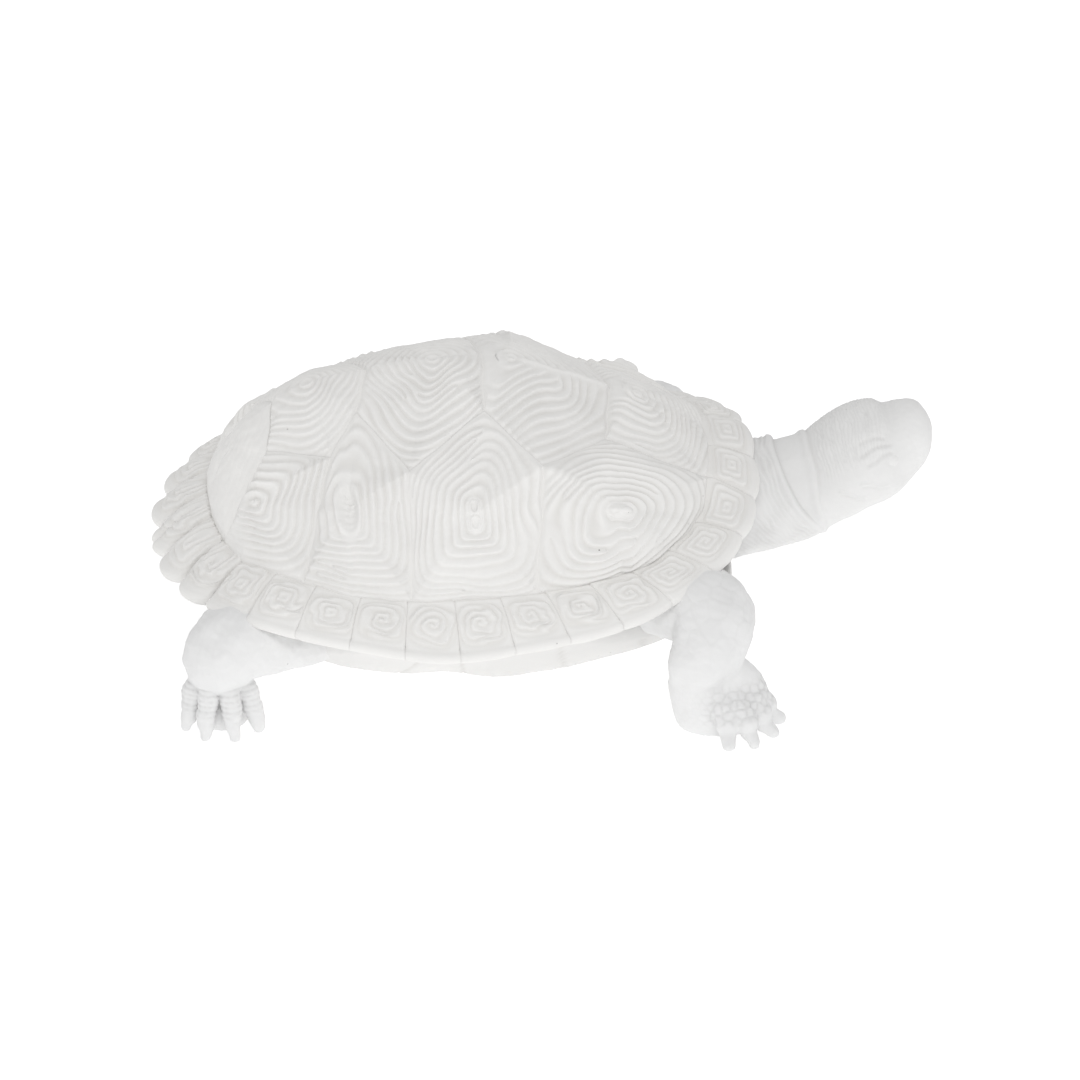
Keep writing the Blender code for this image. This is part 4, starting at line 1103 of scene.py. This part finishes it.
def leg_piece(end, limb, foot, seed):
    """Points, quads and painted shade of a left leg with its scales, bands and creases."""
    band_strength, band_pitch, band_start, plate_strength, bead_strength, bead_side = LEG_CARVING[end]
    centre, _, toe_spread, _ = foot

    # The box to look in holds the limb with room for its thickness, the toes at their longest,
    # and a little below the sole.
    places = np.array([place for place, _ in limb])
    reach = max(reach for _, reach in toe_spread) * 1.2 + 0.010
    low = np.minimum(places.min(axis=0) - 0.018, np.array(centre) - reach)
    high = np.maximum(places.max(axis=0) + 0.018, np.array(centre) + reach)
    low[2], high[2] = -0.00155, places[:, 2].max() + 0.020

    def distance(where):
        return leg_distance(where, limb, foot)

    points, quads = skin_over(distance, low, high, SKIN_PITCH)
    for _ in range(2):
        lean = lean_of(distance, points)
        points = points - lean * distance(points)[:, None]
    lean = lean_of(distance, points, 0.0006)
    sole = smooth_step(0.0006, 0.0022, points[:, 2])

    height = points[:, 2]
    toes, bands = np.full(len(points), 9.0), np.zeros(len(points))
    for heading, toe_reach in toe_spread:
        line = toe_points(foot, heading, toe_reach)
        start, tip = np.array(line[1][0]), np.array(line[-1][0])
        gap = bone(points, start, tip, 0, 0)
        along = (points - start) @ (tip - start) / np.linalg.norm(tip - start)
        chosen = gap < toes
        bands = np.where(chosen, along, bands)
        toes = np.minimum(toes, gap)
    length = np.linalg.norm(tip - start)
    claw = smooth_step(0.42 * length, 0.56 * length, bands) * smooth_step(0.0080, 0.0060, toes)
    on_toe = band_strength * smooth_step(0.0075, 0.0055, toes) * smooth_step(*band_start, bands)
    on_toe *= smooth_step(0.56 * length, 0.46 * length, bands) * smooth_step(0.0022, 0.0045, height)
    band = np.abs(np.sin(math.pi * bands / band_pitch)) ** 0.7

    arm_top = smooth_step(0.033, 0.043, height)
    foot_top = smooth_step(0.003, 0.006, height) * smooth_step(0.024, 0.018, height)
    foot_top *= (1 - on_toe) * (1 - claw)
    beaded = smooth_step(-0.004, 0.006, (points - centre) @ np.array(bead_side))
    big = scale_cells(points, spread_seeds(points[height > 0.018], PLATE_SPACING, seed))
    small = scale_cells(points, spread_seeds(points[height < 0.030], BEAD_SPACING, seed + 1))
    big_scale = smooth_step(0.0, 0.0016, big)
    small_scale = smooth_step(0.0, 0.0012, small)
    plates = plate_strength * arm_top
    beads = bead_strength * foot_top * (0.25 + 0.75 * beaded)
    lift = 0.00042 * (big_scale - 0.7) * plates + 0.00055 * (small_scale - 0.6) * beads
    lift += 0.00050 * (band - 0.6) * on_toe
    lift += 0.00035 * lumps(points, 0.010, seed + 2) + 0.00010 * lumps(points, 0.0034, seed + 3, 14)
    lift *= sole
    # Painted shade between the scales and in the bands of the toes.
    painted_shade = (1 - big_scale) * plates + (1 - small_scale) * beads + (1 - band) ** 2 * on_toe
    return points + lean * lift[:, None], quads, np.clip(painted_shade, 0, 1)


# The legs' and tail's white is the casting's white made a little darker: painted shade.
leg_white_shaded = cast_white("leg_white_shaded", (0.815, 0.815, 0.814), (0.735, 0.733, 0.730), pinholes=0.6)
for end, limb, foot, seed in (("front", FRONT_LEG, FRONT_FOOT, 21),
                              ("hind", HIND_LEG, HIND_FOOT, 31)):
    points, quads, painted_shade = leg_piece(end, limb, foot, seed)
    for side_name, side in (("left", 1), ("right", -1)):
        piece = smooth_object(f"{end}_leg_and_foot_{side_name}", points * (1, side, 1),
                              quads[:, ::side].tolist(), painted_shade)
        if (end, side_name) == ("hind", "left"):
            piece.data.transform(Matrix.Translation(LEFT_HIND_STEP))
        piece.data.materials.append(leg_white_shaded)
        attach(piece, "root")
        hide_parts(f"{end}_leg_{side_name}", f"{end}_foot_{side_name}")

# ------------------------------------------------------------------ tail
# A short pointed tail curls to the left under the rear rim, ringed with rows of scales.
TAIL = (((-0.0900, 0.0000, 0.0400), 0.0095), ((-0.1080, 0.0000, 0.0400), 0.0090),
        ((-0.1200, 0.0010, 0.0380), 0.0075), ((-0.1290, 0.0035, 0.0340), 0.0055),
        ((-0.1350, 0.0060, 0.0295), 0.0035), ((-0.1380, 0.0080, 0.0265), 0.0015))


def tail_piece():
    knots = through_points([(*place, radius) for place, radius in TAIL], 26)
    heading = np.gradient(knots[:, :3], axis=0)
    heading /= np.linalg.norm(heading, axis=1, keepdims=True)
    across = np.cross(heading, (0, 0, 1))
    across /= np.linalg.norm(across, axis=1, keepdims=True)
    upward = np.cross(across, heading)
    turn = np.linspace(0, 2 * math.pi, 84, endpoint=False)[None, :, None]
    steps = np.linalg.norm(np.diff(knots[:, :3], axis=0), axis=1)
    reach = np.concatenate(([0], np.cumsum(steps)))[:, None]
    scales = np.abs(np.sin(math.pi * reach / 0.0034)) ** 0.6
    scales = scales * np.abs(np.sin(6 * turn[..., 0])) ** 0.3
    radius = (knots[:, 3:4] * (1 + 0.05 * (scales - 0.6)))[..., None]
    outward = across[:, None] * np.sin(turn) + upward[:, None] * np.cos(turn)
    rows = knots[:, None, :3] + radius * outward
    # Painted shade between the rows of scales.
    return closed_skin("tail", rows, np.clip(1 - scales, 0, 1) ** 2)


piece = tail_piece()
piece.data.materials.append(leg_white_shaded)
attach(piece, "root")
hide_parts("tail")
